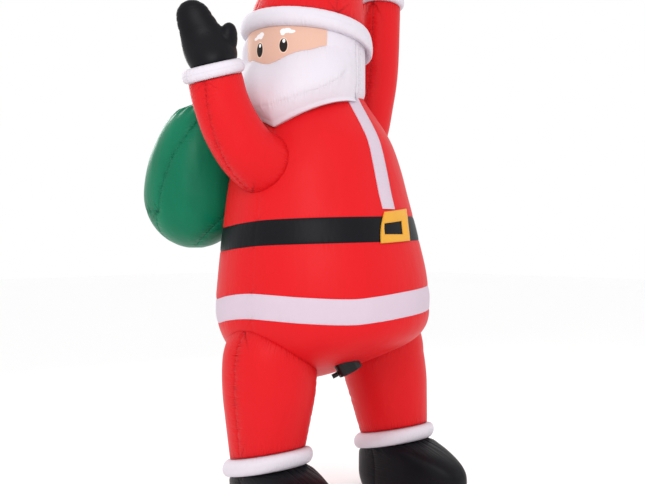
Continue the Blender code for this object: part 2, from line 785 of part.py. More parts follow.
def make_hat():
    """The brim, a puffed band round the head, and the soft cap leaning back over it."""
    centre = Vector((HEAD_X, HEAD_Y, BRIM_BOTTOM + BRIM_WIDTH / 2))
    slope = BRIM_RISE / HEAD_RADIUS
    turn = math.radians(BRIM_RISE_ANGLE)
    puffed_band(
        "hat_brim", centre, head_way(0), head_way(math.pi / 2), Vector((0, 0, 1)),
        (HEAD_RADIUS, HAT_RADIUS), BRIM_WIDTH - GAP, BRIM_PUFF, "white_cloth", TRUNK_SIDES,
        rise=slope, turn=turn, droop=BRIM_DROOP,
    )
    foot = BRIM_BOTTOM + BRIM_WIDTH + GAP
    rings = []
    for share in HAT_SLICES:
        height = foot + (HAT_TOP - foot) * share
        radius = HAT_RADIUS * dome(share ** HAT_POINT)
        ring = []
        for angle in turns(TRUNK_SIDES):
            rise = slope * radius * math.cos(angle - turn) * (1 - share)
            lean = Vector((*HAT_LEAN, 0)) * share
            ring.append(head_point(angle, height + rise, radius) + lean)
        rings.append(ring)
    tip = Vector((HEAD_X + HAT_LEAN[0], HEAD_Y + HAT_LEAN[1], HAT_TOP))
    hat = loft("hat", rings, "red_cloth", high_point=tip)

    ball("hat_pompom", tip, POMPOM_RADIUS, "white_cloth")
    cut(hat, as_cutter(ball("pompom_room", tip, POMPOM_RADIUS + GAP, "white_cloth")))


def ball(name, centre, radius, colour):
    bm = bmesh.new()
    place = Matrix.Translation(centre)
    bmesh.ops.create_uvsphere(
        bm, u_segments=LIMB_SIDES, v_segments=LIMB_SIDES // 2, radius=radius, matrix=place
    )
    return add_piece(name, bm, colour)


def sack_ring(half_width, half_depth, lean, height):
    return [
        Vector((SACK_X + half_width * math.sin(a), SACK_Y + lean - half_depth * math.cos(a), height))
        for a in turns(SACK_SIDES)
    ]


def make_sack(trunk):
    """A full round sack, drawn in at its neck."""
    rings = []
    middle = SACK_MIDDLE
    for share in SACK_SLICES:
        belly = dome(abs(share - middle) / (middle if share < middle else 1 - middle))
        neck = SACK_NECK_RADIUS * (1 - belly) if share > middle else 0.0
        lean = SACK_NECK_LEAN * max(0.0, share - middle) ** 1.5
        rings.append(sack_ring(
            SACK_HALF_WIDTH * belly + neck, SACK_HALF_DEPTH * belly + neck, lean,
            SACK_BOTTOM + SACK_HEIGHT * share,
        ))
    for share, width in SACK_NECK_SLICES:
        radius = SACK_NECK_RADIUS * width
        lean = SACK_NECK_LEAN * ((1 - middle) ** 1.5 + 0.3 * share)
        rings.append(sack_ring(radius, radius, lean, SACK_BOTTOM + SACK_HEIGHT + SACK_NECK_LENGTH * share))
    sack = loft("sack", rings, "green_cloth", low_point=Vector((SACK_X, SACK_Y, SACK_BOTTOM)))
    cut(sack, trunk)


def cylinder(name, radius, low, high, place, colour, sides=BLOWER_SIDES):
    """A straight round piece between two distances along its own axis."""
    bm = bmesh.new()
    along = place @ Matrix.Translation((0, 0, (low + high) / 2))
    bmesh.ops.create_cone(
        bm, cap_ends=True, segments=sides, radius1=radius, radius2=radius, depth=high - low, matrix=along
    )
    return add_piece(name, bm, colour)


def make_blower(seat, left_leg):
    """A round fan housing let into the seat, facing down and forward, with guard and gland."""
    share = dome(math.hypot(BLOWER_X / BELLY_SIDE, BLOWER_Y / BELLY_FRONT))
    under = SEAT_HEIGHT - SEAT_DEPTH * share
    under += seat_rise(BLOWER_X, BLOWER_Y, under)
    turn = Matrix.Rotation(math.radians(BLOWER_TURN), 4, "Z")
    turn = turn @ Matrix.Rotation(math.radians(180.0 - BLOWER_TILT), 4, "X")
    place = Matrix.Translation((BLOWER_X, BLOWER_Y, under)) @ turn
    housing = cylinder("blower_housing", BLOWER_RADIUS, -BLOWER_DEPTH, BLOWER_PROUD, place, "black_plastic")
    room = cylinder(
        "blower_room", BLOWER_RADIUS + GAP, -BLOWER_DEPTH - GAP, CUTTER_REACH, place, "black_plastic"
    )
    cut(seat, as_cutter(room))
    cut(left_leg, room)
    mouth = cylinder(
        "blower_mouth", BLOWER_RADIUS - BLOWER_RIM, BLOWER_PROUD - BLOWER_MOUTH, CUTTER_REACH, place,
        "black_plastic",
    )
    cut(housing, as_cutter(mouth))
    floor = BLOWER_PROUD - BLOWER_MOUTH + GAP
    cylinder(
        "blower_grille", BLOWER_RADIUS - BLOWER_RIM - GAP, floor, floor + GRILLE_THICK, place,
        "black_plastic",
    )
    edge = BLOWER_RADIUS + GAP
    side_way = place @ Matrix.Translation((0, 0, BLOWER_PROUD / 2)) @ Matrix.Rotation(
        math.radians(90.0), 4, "X"
    )
    cylinder(
        "lead_gland", GLAND_RADIUS, edge, edge + GLAND_LENGTH, side_way, "black_plastic",
        sides=GLAND_SIDES,
    )


def stand_at_origin():
    """Moves everything, helpers too, so that the origin is at the middle of the base."""
    bpy.context.view_layer.update()
    graph = bpy.context.evaluated_depsgraph_get()
    low, high = Vector((9, 9, 9)), Vector((-9, -9, -9))
    for piece in bpy.data.objects:
        if piece.hide_render:
            continue
        shape = piece.evaluated_get(graph)
        for vertex in shape.data.vertices:
            low = Vector(map(min, low, vertex.co))
            high = Vector(map(max, high, vertex.co))
    move = -Vector(((low.x + high.x) / 2, (low.y + high.y) / 2, low.z))
    for piece in bpy.data.objects:
        piece.data.transform(Matrix.Translation(move))


def main():
    clear_scene()
    seat, jacket, trunk = make_trunk()
    placket_slot = make_placket(jacket)
    make_buckle()
    legs = []
    for side_name, hip, foot in (
        ("right", RIGHT_LEG_HIP, RIGHT_LEG_FOOT), ("left", LEFT_LEG_HIP, LEFT_LEG_FOOT)
    ):
        legs.append(make_leg(f"leg_{side_name}", hip, foot, trunk))
        make_leg_cuff(f"leg_cuff_{side_name}", foot)
        make_boot(f"boot_{side_name}", foot)
    make_arm("right", RIGHT_ARM, 1, trunk)
    make_arm("left", LEFT_ARM, -1, trunk)
    make_head(trunk, placket_slot)
    make_hat()
    make_sack(trunk)
    make_blower(seat, legs[1])
    stand_at_origin()


main()
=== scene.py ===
"""The looks of an inflatable Santa: satin cloth panels blown tight, sewn along puckered seams.

The figure's own coordinates have the middle of its trunk at x = y = 0. Every shape is worked out
there, as the solids are, and is then moved to the frame by ORIGIN.
"""
import json
import math

import bmesh
import bpy
import numpy as np
from mathutils import Matrix, Vector
from mathutils.bvhtree import BVHTree

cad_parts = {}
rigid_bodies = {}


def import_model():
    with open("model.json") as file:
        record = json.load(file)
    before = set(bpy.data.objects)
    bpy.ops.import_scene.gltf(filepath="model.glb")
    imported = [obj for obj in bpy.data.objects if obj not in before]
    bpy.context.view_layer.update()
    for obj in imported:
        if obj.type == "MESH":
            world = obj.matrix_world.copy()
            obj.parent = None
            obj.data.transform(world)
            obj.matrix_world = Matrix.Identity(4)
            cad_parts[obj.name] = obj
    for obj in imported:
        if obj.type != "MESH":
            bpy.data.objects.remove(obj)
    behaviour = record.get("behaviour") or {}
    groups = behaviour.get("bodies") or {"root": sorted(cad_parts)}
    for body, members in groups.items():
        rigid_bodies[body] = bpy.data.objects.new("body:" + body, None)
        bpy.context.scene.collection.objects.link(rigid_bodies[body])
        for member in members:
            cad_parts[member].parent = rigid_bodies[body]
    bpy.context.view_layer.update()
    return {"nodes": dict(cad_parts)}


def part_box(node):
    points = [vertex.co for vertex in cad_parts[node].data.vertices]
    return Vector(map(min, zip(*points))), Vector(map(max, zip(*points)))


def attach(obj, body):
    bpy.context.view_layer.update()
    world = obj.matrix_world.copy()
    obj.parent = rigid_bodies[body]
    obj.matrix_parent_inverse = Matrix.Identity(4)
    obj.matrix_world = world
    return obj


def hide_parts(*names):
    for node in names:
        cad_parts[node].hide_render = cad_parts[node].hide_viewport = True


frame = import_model()

# The camera of the photograph, in the figure's own coordinates.
VIEW_TURN = 44.0
VIEW_DISTANCE = 3.2
VIEW_ASIDE = 0.018
VIEW_HEIGHT = 1.065
FOCAL_PIXELS = 790.0
PHOTO_WIDTH = 645.0
SENSOR_WIDTH = 36.0
# Each light's name, its place behind, beside and above the chest, its size and its power.
LIGHTS = (
    ("key", -3.0, -0.4, 1.2, 1.4, 29),
    ("side", -0.8, 3.0, 0.6, 1.4, 5),
    ("back", 2.2, -1.6, 1.4, 1.6, 34),
)

# How finely the cloth is modelled.
TRUNK_AROUND = 600
LIMB_AROUND = 170
GAP = 0.0004

# Trunk, as the solids have it.
NECK_HEIGHT = 1.64
BELLY_HEIGHT = 0.86
SEAT_HEIGHT = 0.80
SEAT_DEPTH = 0.28
SEAT_SLOPE_FRONT = 0.25
SEAT_SLOPE_LEFT = 0.08
BELLY_SIDE = 0.42
BELLY_FRONT = 0.462
BELLY_BACK = 0.388
TRUNK_SHAPE = (
    (0.00, 1.000, 1.000, 1.000),
    (0.13, 0.976, 0.963, 0.982),
    (0.27, 0.940, 0.894, 0.972),
    (0.42, 0.890, 0.820, 0.968),
    (0.50, 0.862, 0.778, 0.966),
    (0.63, 0.798, 0.722, 0.950),
    (0.75, 0.710, 0.660, 0.850),
    (0.83, 0.640, 0.585, 0.720),
    (0.95, 0.490, 0.450, 0.520),
    (1.00, 0.430, 0.400, 0.460),
)
BELT_BOTTOM, BELT_WIDTH = 1.056, 0.093
BELT_WAVE = (
    (-180, -0.034), (-113, -0.026), (-91, -0.014), (-76, -0.005), (-54, 0.001), (-34, 0.005),
    (-10, 0.009), (25, 0.015), (60, 0.016), (91, 0.008), (113, -0.006), (180, -0.034),
)
HEM_BOTTOM, HEM_WIDTH = 0.778, 0.092
HEM_WAVE = (
    (-180, -0.036), (-118, -0.026), (-97, -0.005), (-82, 0.007), (-70, 0.006), (-54, 0.000),
    (-30, -0.006), (-17, 0.002), (0, 0.014), (25, 0.024), (50, 0.026), (82, 0.022),
    (118, -0.006), (180, -0.036),
)
TRUNK_SEAMS = (-80.0, 84.0, 180.0)

PLACKET_WIDTH = 0.072
PLACKET_THICK = 0.012
PLACKET_PROUD = 0.0025
PLACKET_OVER_BELT = 0.074
BUCKLE_THICK, BUCKLE_SKEW = 0.009, 0.016
BUCKLE_OUTER = ((-0.030, 0.064), (0.125, 0.075), (0.094, -0.047), (-0.083, -0.051))
BUCKLE_BULGE = 0.008
BUCKLE_INNER = ((-0.050, 0.020), (0.062, 0.028), (0.051, -0.021), (-0.055, -0.018))

# Legs, cuffs and boots.
LEG_ROOT_HEIGHT, LEG_ROOT_INSET, LEG_ROOT_RADIUS = 0.74, 0.032, 0.166
LEG_TOP_HEIGHT, LEG_KNEE_HEIGHT, LEG_CALF_HEIGHT = 0.60, 0.50, 0.40
LEG_TOP_RADIUS, LEG_KNEE_RADIUS, LEG_CALF_RADIUS, LEG_ANKLE_RADIUS = 0.180, 0.176, 0.162, 0.142
CUFF_MIDDLE_HEIGHT, CUFF_WIDTH, CUFF_PUFF, CUFF_SLOPE = 0.240, 0.064, 0.028, 0.24
RIGHT_LEG_FOOT, RIGHT_LEG_HIP = (-0.290, -0.030), (-0.278, -0.028)
LEFT_LEG_FOOT, LEFT_LEG_HIP = (0.360, -0.092), (0.315, -0.060)
BOOT_SHAFT_RADIUS = 0.142
BOOT_TOE_REACH, BOOT_HEEL_REACH, BOOT_HALF_WIDTH = 0.362, 0.160, 0.122
BOOT_NOSE_HEIGHT, BOOT_SOLE_INSET = 0.100, 0.022
BOOT_SOLE_SHARE, BOOT_INSTEP, BOOT_SQUARE = 0.42, 2.8, 0.78

# Head, face, beard and hat.
HEAD_X, HEAD_Y, HEAD_TURN = -0.045, 0.020, 73.0
HEAD_RADIUS, HEAD_BOTTOM = 0.236, 1.595
FACE_HALF_ANGLE, BEARD_HALF_ANGLE = 49.0, 84.0
FACE_LOW = (
    (-49.0, 1.786), (-40.0, 1.772), (-31.0, 1.769), (-25.0, 1.760), (-19.0, 1.751), (-13.0, 1.743),
    (-7.0, 1.740), (-1.0, 1.744), (4.0, 1.750), (13.0, 1.765), (24.0, 1.778), (34.0, 1.784),
    (45.0, 1.798), (49.0, 1.801),
)
BEARD_PUFF, BEARD_EDGE = 0.052, 0.005
BEARD_TIP_HEIGHT, BEARD_SIDE_HEIGHT = 1.494, 1.604
HAIR_PUFF, HAIR_PUFF_ANGLE, HAIR_PUFF_SPREAD = 0.026, -66.0, 18.0
# The crease where the beard turns under, and how far it draws in below.
BEARD_CREASE = (
    (-84.0, 1.640), (-60.0, 1.600), (-30.0, 1.575), (-7.0, 1.569), (10.0, 1.584), (29.0, 1.612),
    (44.0, 1.641), (63.0, 1.699), (75.0, 1.760), (84.0, 1.820),
)
BEARD_TUCK = 0.010
HAIR_DEPTH = 0.060
HAIR_SEAMS, HAT_SEAMS = (94.0, 180.0, -94.0), (-120.0, -30.0, 60.0, 150.0)
BRIM_BOTTOM, BRIM_WIDTH, BRIM_PUFF = 1.857, 0.075, 0.034
BRIM_RISE, BRIM_RISE_ANGLE, BRIM_DROOP, DROOP_SHARE = 0.0255, -35.0, 0.045, 0.77
HAT_RADIUS, HAT_TOP, HAT_LEAN, HAT_POINT = 0.228, 2.350, (0.078, -0.034), 0.65
POMPOM_RADIUS = 0.072

# Arms and mittens.
RIGHT_ARM = (
    (-0.180, -0.035, 1.320, 0.124),
    (-0.285, -0.032, 1.345, 0.123),
    (-0.374, -0.020, 1.393, 0.113),
    (-0.440, -0.005, 1.480, 0.107),
    (-0.485, 0.000, 1.570, 0.101),
    (-0.513, 0.000, 1.655, 0.099),
)
LEFT_ARM = (
    (0.130, 0.010, 1.350, 0.098),
    (0.225, 0.012, 1.430, 0.096),
    (0.305, 0.016, 1.530, 0.090),
    (0.350, 0.020, 1.650, 0.087),
    (0.388, 0.026, 1.820, 0.090),
    (0.416, 0.035, 2.105, 0.089),
)
ARM_CUFF_WIDTH, ARM_CUFF_PUFF = 0.050, 0.018
MITTEN_LENGTH, MITTEN_HALF_WIDTH, MITTEN_HALF_THICK, MITTEN_SHIFT = 0.235, 0.093, 0.046, 0.010
THUMB_START, THUMB_ASIDE, THUMB_LEAN = 0.10, 0.52, 0.42
THUMB_LENGTH, THUMB_RADIUS = 0.112, 0.036
THUMB_SHAPE = ((0.0, 0.9), (0.3, 1.0), (0.6, 0.95), (0.82, 0.72), (0.95, 0.40), (1.0, 0.02))
MITTEN_SHAPE = (
    (0.00, 0.92, 1.00, 0.00),
    (0.12, 1.00, 1.00, 0.01),
    (0.30, 0.96, 0.98, 0.05),
    (0.50, 0.82, 0.95, 0.10),
    (0.68, 0.72, 0.88, 0.15),
    (0.84, 0.60, 0.70, 0.17),
    (0.95, 0.36, 0.42, 0.18),
    (1.00, 0.02, 0.02, 0.18),
)

# Sack.
SACK_X, SACK_Y, SACK_BOTTOM, SACK_HEIGHT = -0.270, 0.470, 1.039, 0.595
SACK_HALF_WIDTH, SACK_HALF_DEPTH, SACK_MIDDLE = 0.215, 0.210, 0.38
SACK_NECK_RADIUS, SACK_NECK_LENGTH, SACK_NECK_LEAN = 0.060, 0.075, -0.160
SACK_SEAM = (
    (0.0, -125.0), (0.10, -106.0), (0.27, -80.0), (0.46, -72.0), (0.64, -64.0), (0.89, -39.0), (1.0, -30.0)
)
SACK_PATCH_SEAM = 0.26
# The share of the sack's rows below its gathered neck.
SACK_BAG_ROWS = 0.86

# Fan in the seat.
BLOWER_X, BLOWER_Y, BLOWER_COLLAR = -0.075, -0.238, 0.060

# Seams: the dip where two panels are sewn, and the short creases that run from it.
SEAM_DIP = 0.0014
SEAM_EASE = 0.005
TRUNK_SMOOTH = 0.03

PUCKER_SPACING = 0.026
PUCKER_REACH = 0.034
PUCKER_DEPTH = 0.0030

# Cloth simulation of the mittens.
SIM_FRAMES = 20
SIM_VOXEL = 0.004

# Edges sharper than this stay sharp.
SMOOTH_ANGLE = 42


def frame_origin():
    """Where the figure's own origin lies in the frame: the right leg's cuff says."""
    low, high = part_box("leg_cuff_right")
    middle = (low + high) / 2
    return Vector((middle.x - RIGHT_LEG_FOOT[0], middle.y - RIGHT_LEG_FOOT[1], 0))


ORIGIN = frame_origin()


def nothing_selected():
    for obj in bpy.data.objects:
        obj.select_set(False)


def only(piece):
    """Makes a piece the selected and active one."""
    nothing_selected()
    bpy.context.view_layer.objects.active = piece
    piece.select_set(True)


def drum(name, around, rows):
    """A closed drum of unit size: a cylinder primitive whose side is cut into rows."""
    nothing_selected()
    bpy.ops.mesh.primitive_cylinder_add(vertices=around, radius=1, depth=1, end_fill_type="TRIFAN")
    piece = bpy.context.active_object
    piece.name = piece.data.name = name
    bpy.ops.object.mode_set(mode="EDIT")
    bpy.ops.mesh.select_mode(type="EDGE")
    bpy.ops.mesh.select_all(action="DESELECT")
    bm = bmesh.from_edit_mesh(piece.data)
    for edge in bm.edges:
        low, high = edge.verts
        edge.select = abs(low.co.z - high.co.z) > 0.5
    bmesh.update_edit_mesh(piece.data)
    bpy.ops.mesh.subdivide(number_cuts=rows - 1)
    bpy.ops.object.mode_set(mode="OBJECT")
    return piece


def points_of(piece, what="co"):
    """A piece's vertices as rows of x, y, z: their places, or what else is asked for."""
    flat = np.zeros(len(piece.data.vertices) * 3)
    piece.data.vertices.foreach_get(what, flat)
    return flat.reshape(-1, 3)


def set_points(piece, points):
    piece.data.vertices.foreach_set("co", np.ascontiguousarray(points, float).ravel())
    piece.data.update()


def grid_of(piece, around, rows):
    """For every vertex of a drum: its row, its step round the drum, and whether it is a pole."""
    unit = points_of(piece)
    row = np.rint(np.clip(unit[:, 2] + 0.5, 0, 1) * rows).astype(int)
    step = np.rint(np.arctan2(unit[:, 1], unit[:, 0]) / (2 * math.pi) % 1 * around).astype(int) % around
    return row, step, np.hypot(unit[:, 0], unit[:, 1]) < 0.5


def shape_drum(piece, maker):
    """Moves a drum's vertices to maker(angle, height); each pole goes to the middle of its end."""
    unit = points_of(piece)
    pole = np.hypot(unit[:, 0], unit[:, 1]) < 0.5
    angle = np.arctan2(unit[:, 1], unit[:, 0])
    height = np.clip(unit[:, 2] + 0.5, 0, 1)
    points = maker(angle, height)
    for end in (0.0, 1.0):
        at_end = np.abs(height - end) < 1e-6
        points[pole & at_end] = points[at_end & ~pole].mean(0)
    set_points(piece, points)
    face_outward(piece)
    return angle, height


def face_outward(piece):
    only(piece)
    bpy.ops.object.mode_set(mode="EDIT")
    bpy.ops.mesh.select_all(action="SELECT")
    bpy.ops.mesh.normals_make_consistent(inside=False)
    bpy.ops.object.mode_set(mode="OBJECT")


def sink(piece, depth):
    """Presses each vertex inward along its normal."""
    set_points(piece, points_of(piece) - points_of(piece, "normal") * depth[:, None])


def apply_modifier(piece, kind, **values):
    modifier = piece.modifiers.new(kind.lower(), kind)
    for key, value in values.items():
        setattr(modifier, key, value)
    only(piece)
    bpy.ops.object.modifier_apply(modifier=modifier.name)


def cut_away(piece, cutter):
    apply_modifier(piece, "BOOLEAN", operation="DIFFERENCE", solver="EXACT", object=cutter)


def smooth_row(rows, at):
    """The row of a table of shapes at a place between its rows, along smooth curves."""
    at = min(max(at, rows[0][0]), rows[-1][0])
    index = next(i for i in range(len(rows) - 1) if at <= rows[i + 1][0])
    low, high = rows[index], rows[index + 1]
    before = rows[max(index - 1, 0)]
    after = rows[min(index + 2, len(rows) - 1)]
    span = high[0] - low[0]
    t = (at - low[0]) / span
    values = []
    for k in range(1, len(low)):
        slope_low = (high[k] - before[k]) / (high[0] - before[0]) * span
        slope_high = (after[k] - low[k]) / (after[0] - low[0]) * span
        values.append(
            (2 * t**3 - 3 * t**2 + 1) * low[k]
            + (t**3 - 2 * t**2 + t) * slope_low
            + (3 * t**2 - 2 * t**3) * high[k]
            + (t**3 - t**2) * slope_high
        )
    return values


def fine_table(rows, steps=400):
    """A table of shapes read at many places, for quick reading."""
    places = np.linspace(rows[0][0], rows[-1][0], steps + 1)
    return places, np.array([smooth_row(rows, place) for place in places])


def read_table(table, at):
    places, values = table
    return [np.interp(at, places, values[:, k]) for k in range(values.shape[1])]


def dome(share):
    return np.sqrt(np.maximum(0.0, 1.0 - np.minimum(1.0, np.maximum(share, 0.0)) ** 2))


TRUNK_TABLE = fine_table(TRUNK_SHAPE)


def trunk_breadths(height):
    side, front, back = read_table(TRUNK_TABLE, (height - BELLY_HEIGHT) / (NECK_HEIGHT - BELLY_HEIGHT))
    under = np.where(height < SEAT_HEIGHT, dome((SEAT_HEIGHT - height) / SEAT_DEPTH), 1.0)
    return side * BELLY_SIDE * under, front * BELLY_FRONT * under, back * BELLY_BACK * under


def trunk_point(angle, height, proud=0.0):
    """Points on the trunk. The angle is 0 at the front and grows towards the figure's left."""
    side, front, back = trunk_breadths(height)
    reach = np.where(np.cos(angle) > 0, front, back)
    x, y = side * np.sin(angle), -reach * np.cos(angle)
    length = np.maximum(np.hypot(x, y), 1e-6)
    x, y = x * (1 + proud / length), y * (1 + proud / length)
    share = np.maximum(0.0, (SEAT_HEIGHT - height) / SEAT_DEPTH)
    rise = (SEAT_SLOPE_LEFT * x - SEAT_SLOPE_FRONT * y) * share**2
    return np.stack([x, y, height + rise], 1)


BELT_TABLE, HEM_TABLE = fine_table(BELT_WAVE), fine_table(HEM_WAVE)


def belt_seam(height):
    return lambda angle: height + read_table(BELT_TABLE, np.degrees(angle))[0]


def hem_seam(height):
    return lambda angle: height + read_table(HEM_TABLE, np.degrees(angle))[0]


def level(height):
    return lambda angle: height + 0.0 * angle


def wrapped(angle):
    return (angle + math.pi) % (2 * math.pi) - math.pi


def beside(angle, degrees, radius):
    """How far places round a piece lie from an upright seam."""
    return np.abs(wrapped(angle - np.radians(degrees))) * radius


def oval_ring(side, across, half_side, half_across, angle):
    """Points on an oval about the origin, with its half widths along two ways."""
    return side * (half_side * np.cos(angle))[:, None] + across * (half_across * np.sin(angle))[:, None]


def rounded_rows(t, power=1.35):
    """Shares of a length, closer together towards its round end."""
    return 1 - (1 - t) ** power


def seam(seed, span, spacing=PUCKER_SPACING, reach=PUCKER_REACH, depth=PUCKER_DEPTH):
    """A seam's creases: where each starts, how far it runs, how wide and how deep it is."""
    draw = np.random.default_rng(seed)
    count = max(3, int(span / spacing))
    return {
        "span": span,
        "at": (np.arange(count) + draw.uniform(-0.35, 0.35, count)) * span / count,
        "length": reach * draw.uniform(0.35, 1.4, count),
        "width": draw.uniform(0.0036, 0.0070, count),
        "depth": depth * draw.uniform(0.25, 1.0, count),
        "slant": draw.uniform(-0.3, 0.3, count),
    }


def crease_depth(creases, along, away):
    """How deep the cloth lies at places along a seam and away from it."""
    total = SEAM_DIP * np.exp(-away / SEAM_EASE)
    span = creases["span"]
    near = np.flatnonzero(away < creases["length"].max())
    along, away = along[near], away[near]
    sunk = np.zeros(len(near))
    for at, length, width, depth, slant in zip(
        creases["at"], creases["length"], creases["width"], creases["depth"], creases["slant"]
    ):
        gap = (along - at - slant * away + span / 2) % span - span / 2
        sunk += depth * np.exp(-(gap / width) ** 2) * np.clip(1 - away / length, 0, 1) ** 1.4
    total[near] += sunk
    return total


def inflate(piece, held, pressure=4.0, cap=0.007):
    """Blows a piece tight by cloth simulation. The held vertices, its seam, stay where they are."""
    start = points_of(piece)
    seam_group = piece.vertex_groups.new(name="seam")
    seam_group.add([int(i) for i in np.flatnonzero(held)], 1.0, "REPLACE")
    modifier = piece.modifiers.new("cloth", "CLOTH")
    modifier.settings.vertex_group_mass = "seam"
    modifier.settings.use_pressure = True
    modifier.settings.uniform_pressure_force = pressure
    modifier.settings.effector_weights.gravity = 0.0
    for step in range(1, SIM_FRAMES + 1):
        bpy.context.scene.frame_set(step)
    only(piece)
    bpy.ops.object.modifier_apply(modifier=modifier.name)
    bpy.context.scene.frame_set(1)
    piece.vertex_groups.clear()
    move = points_of(piece) - start
    length = np.maximum(np.linalg.norm(move, axis=1), 1e-9)
    set_points(piece, start + move * (np.minimum(length, cap) / length)[:, None])


def deepest(runs):
    """How deep the cloth lies under all its seams: runs of (creases, along, away)."""
    return np.max([crease_depth(*run) for run in runs], 0)


def seam_map(piece, runs, smooth=0.0):
    """A UV map in metres: along the nearest seam, and away from it. Smooth cloth is as if further away."""
    along = np.stack([run[1] for run in runs])
    away = np.stack([run[2] for run in runs])
    near = away.argmin(0)
    pick = np.arange(away.shape[1])
    values = np.stack([along[near, pick] + near * 0.37, away[near, pick] + smooth], 1)
    layer = piece.data.uv_layers.new(name="seams")
    loops = np.zeros(len(piece.data.loops), int)
    piece.data.loops.foreach_get("vertex_index", loops)
    layer.data.foreach_set("uv", values[loops].ravel())


def upright_runs(angle, height, radius, degrees, seed, span, **how):
    """The creases of a piece's upright seams."""
    return [(seam(seed + k, span, **how), height, beside(angle, at, radius)) for k, at in enumerate(degrees)]


def sewn(name, around, rows, maker, smooth=0.0):
    """A piece shaped by maker(angle, height, runs), which adds the creases of its seams to runs."""
    piece = drum(name, around, rows)
    runs = []
    shape_drum(piece, lambda angle, t: maker(angle, t, runs))
    seam_map(piece, runs, smooth)
    return piece


def even_rows(low, high, t):
    """Heights between two seams, closer together near them."""
    return low + (high - low) * (0.5 * t + 0.5 * (1 - np.cos(np.pi * t)) / 2)


GIRTH = 2 * math.pi * BELLY_SIDE
SEAMS = {
    "hem_low": seam(11, GIRTH, depth=0.0016), "hem_high": seam(12, GIRTH, depth=0.0008),
    "belt_low": seam(13, GIRTH, depth=0.0008), "belt_high": seam(14, GIRTH, depth=0.0008),
    "neck": seam(15, GIRTH),
}


def trunk_band(name, low, high, rows, low_seam, high_seam, proud=0.0, collar=False):
    """One panel of the trunk between two seams, with its creases, and those of the fan's collar."""
    def maker(angle, t, runs):
        low_at, high_at = low(angle) + GAP / 2, high(angle) - GAP / 2
        height = even_rows(low_at, high_at, t)
        along = angle * BELLY_SIDE
        if low_seam:
            runs.append((SEAMS[low_seam], along, height - low_at))
        runs.append((SEAMS[high_seam], along, high_at - height))
        half = trunk_breadths(height)[0]
        runs.extend(upright_runs(angle, height, half, TRUNK_SEAMS, 21, 1.4, depth=0.0010, reach=0.022))
        if collar:
            points = trunk_point(angle, height)
            x, y = points[:, 0] - BLOWER_X, points[:, 1] - BLOWER_Y
            creases = seam(27, 2 * math.pi * BLOWER_COLLAR, spacing=0.016, depth=0.0035)
            runs.append((creases, np.arctan2(y, x) * BLOWER_COLLAR, np.abs(np.hypot(x, y) - BLOWER_COLLAR)))
        return trunk_point(angle, height, proud * np.sin(np.pi * t) - deepest(runs))

    return sewn(name, TRUNK_AROUND, rows, maker, TRUNK_SMOOTH)


def trunk_form():
    """The whole trunk as one plain shape, to cut what is sewn to it."""
    piece = drum("trunk_form", 150, 120)
    low = SEAT_HEIGHT - SEAT_DEPTH + 0.001
    shape_drum(piece, lambda angle, t: trunk_point(angle, low + (NECK_HEIGHT - low) * t**1.5))
    piece.hide_render = True
    return piece


def path_frames(points):
    """A turned frame at each point of a path, without twist between neighbours."""
    last = len(points) - 1
    tangents = [(points[min(i + 1, last)] - points[max(i - 1, 0)]).normalized() for i in range(last + 1)]
    side = Vector((0, 1, 0)).cross(tangents[0])
    if side.length < 0.1:
        side = Vector((1, 0, 0))
    side = (side - tangents[0] * side.dot(tangents[0])).normalized()
    sides = []
    for i, tangent in enumerate(tangents):
        if i:
            side = tangents[i - 1].rotation_difference(tangent) @ side
        sides.append(side)
    return [(point, s, t.cross(s), t) for point, s, t in zip(points, sides, tangents)]


def press_seams(piece, angle, t, length, radius, uprights, ends, roots, root_seed):
    """Creases along a tube: upright seams, the seam at its far end, and where it meets the trunk."""
    along = length * t
    runs = []
    for seed, root_degrees, end_degrees, reach in uprights:
        away = beside(angle, root_degrees + (end_degrees - root_degrees) * t, radius)
        runs.append((seam(seed, length, spacing=0.024, reach=reach, depth=0.0042), along, away))
    runs.append((seam(ends, 2 * math.pi * radius, depth=0.0020), angle * radius, length - along))
    creases = seam(root_seed, 2 * math.pi * radius, spacing=0.034, reach=0.045, depth=0.0026)
    runs.append((creases, angle * radius, np.maximum(0.0, roots)))
    sunk = deepest(runs)
    sunk[(t < 1e-6) | (t > 1 - 1e-6)] = SEAM_DIP
    sink(piece, sunk)
    seam_map(piece, runs)


def off_trunk(piece, form):
    """How far each vertex is outside the trunk."""
    form.data.calc_loop_triangles()
    tree = BVHTree.FromPolygons(
        [v.co for v in form.data.vertices], [t.vertices for t in form.data.loop_triangles]
    )
    away = np.zeros(len(piece.data.vertices))
    for i, point in enumerate(points_of(piece)):
        near, normal, index, distance = tree.find_nearest(Vector(point))
        away[i] = distance if (Vector(point) - near).dot(normal) > 0 else -distance
    return away


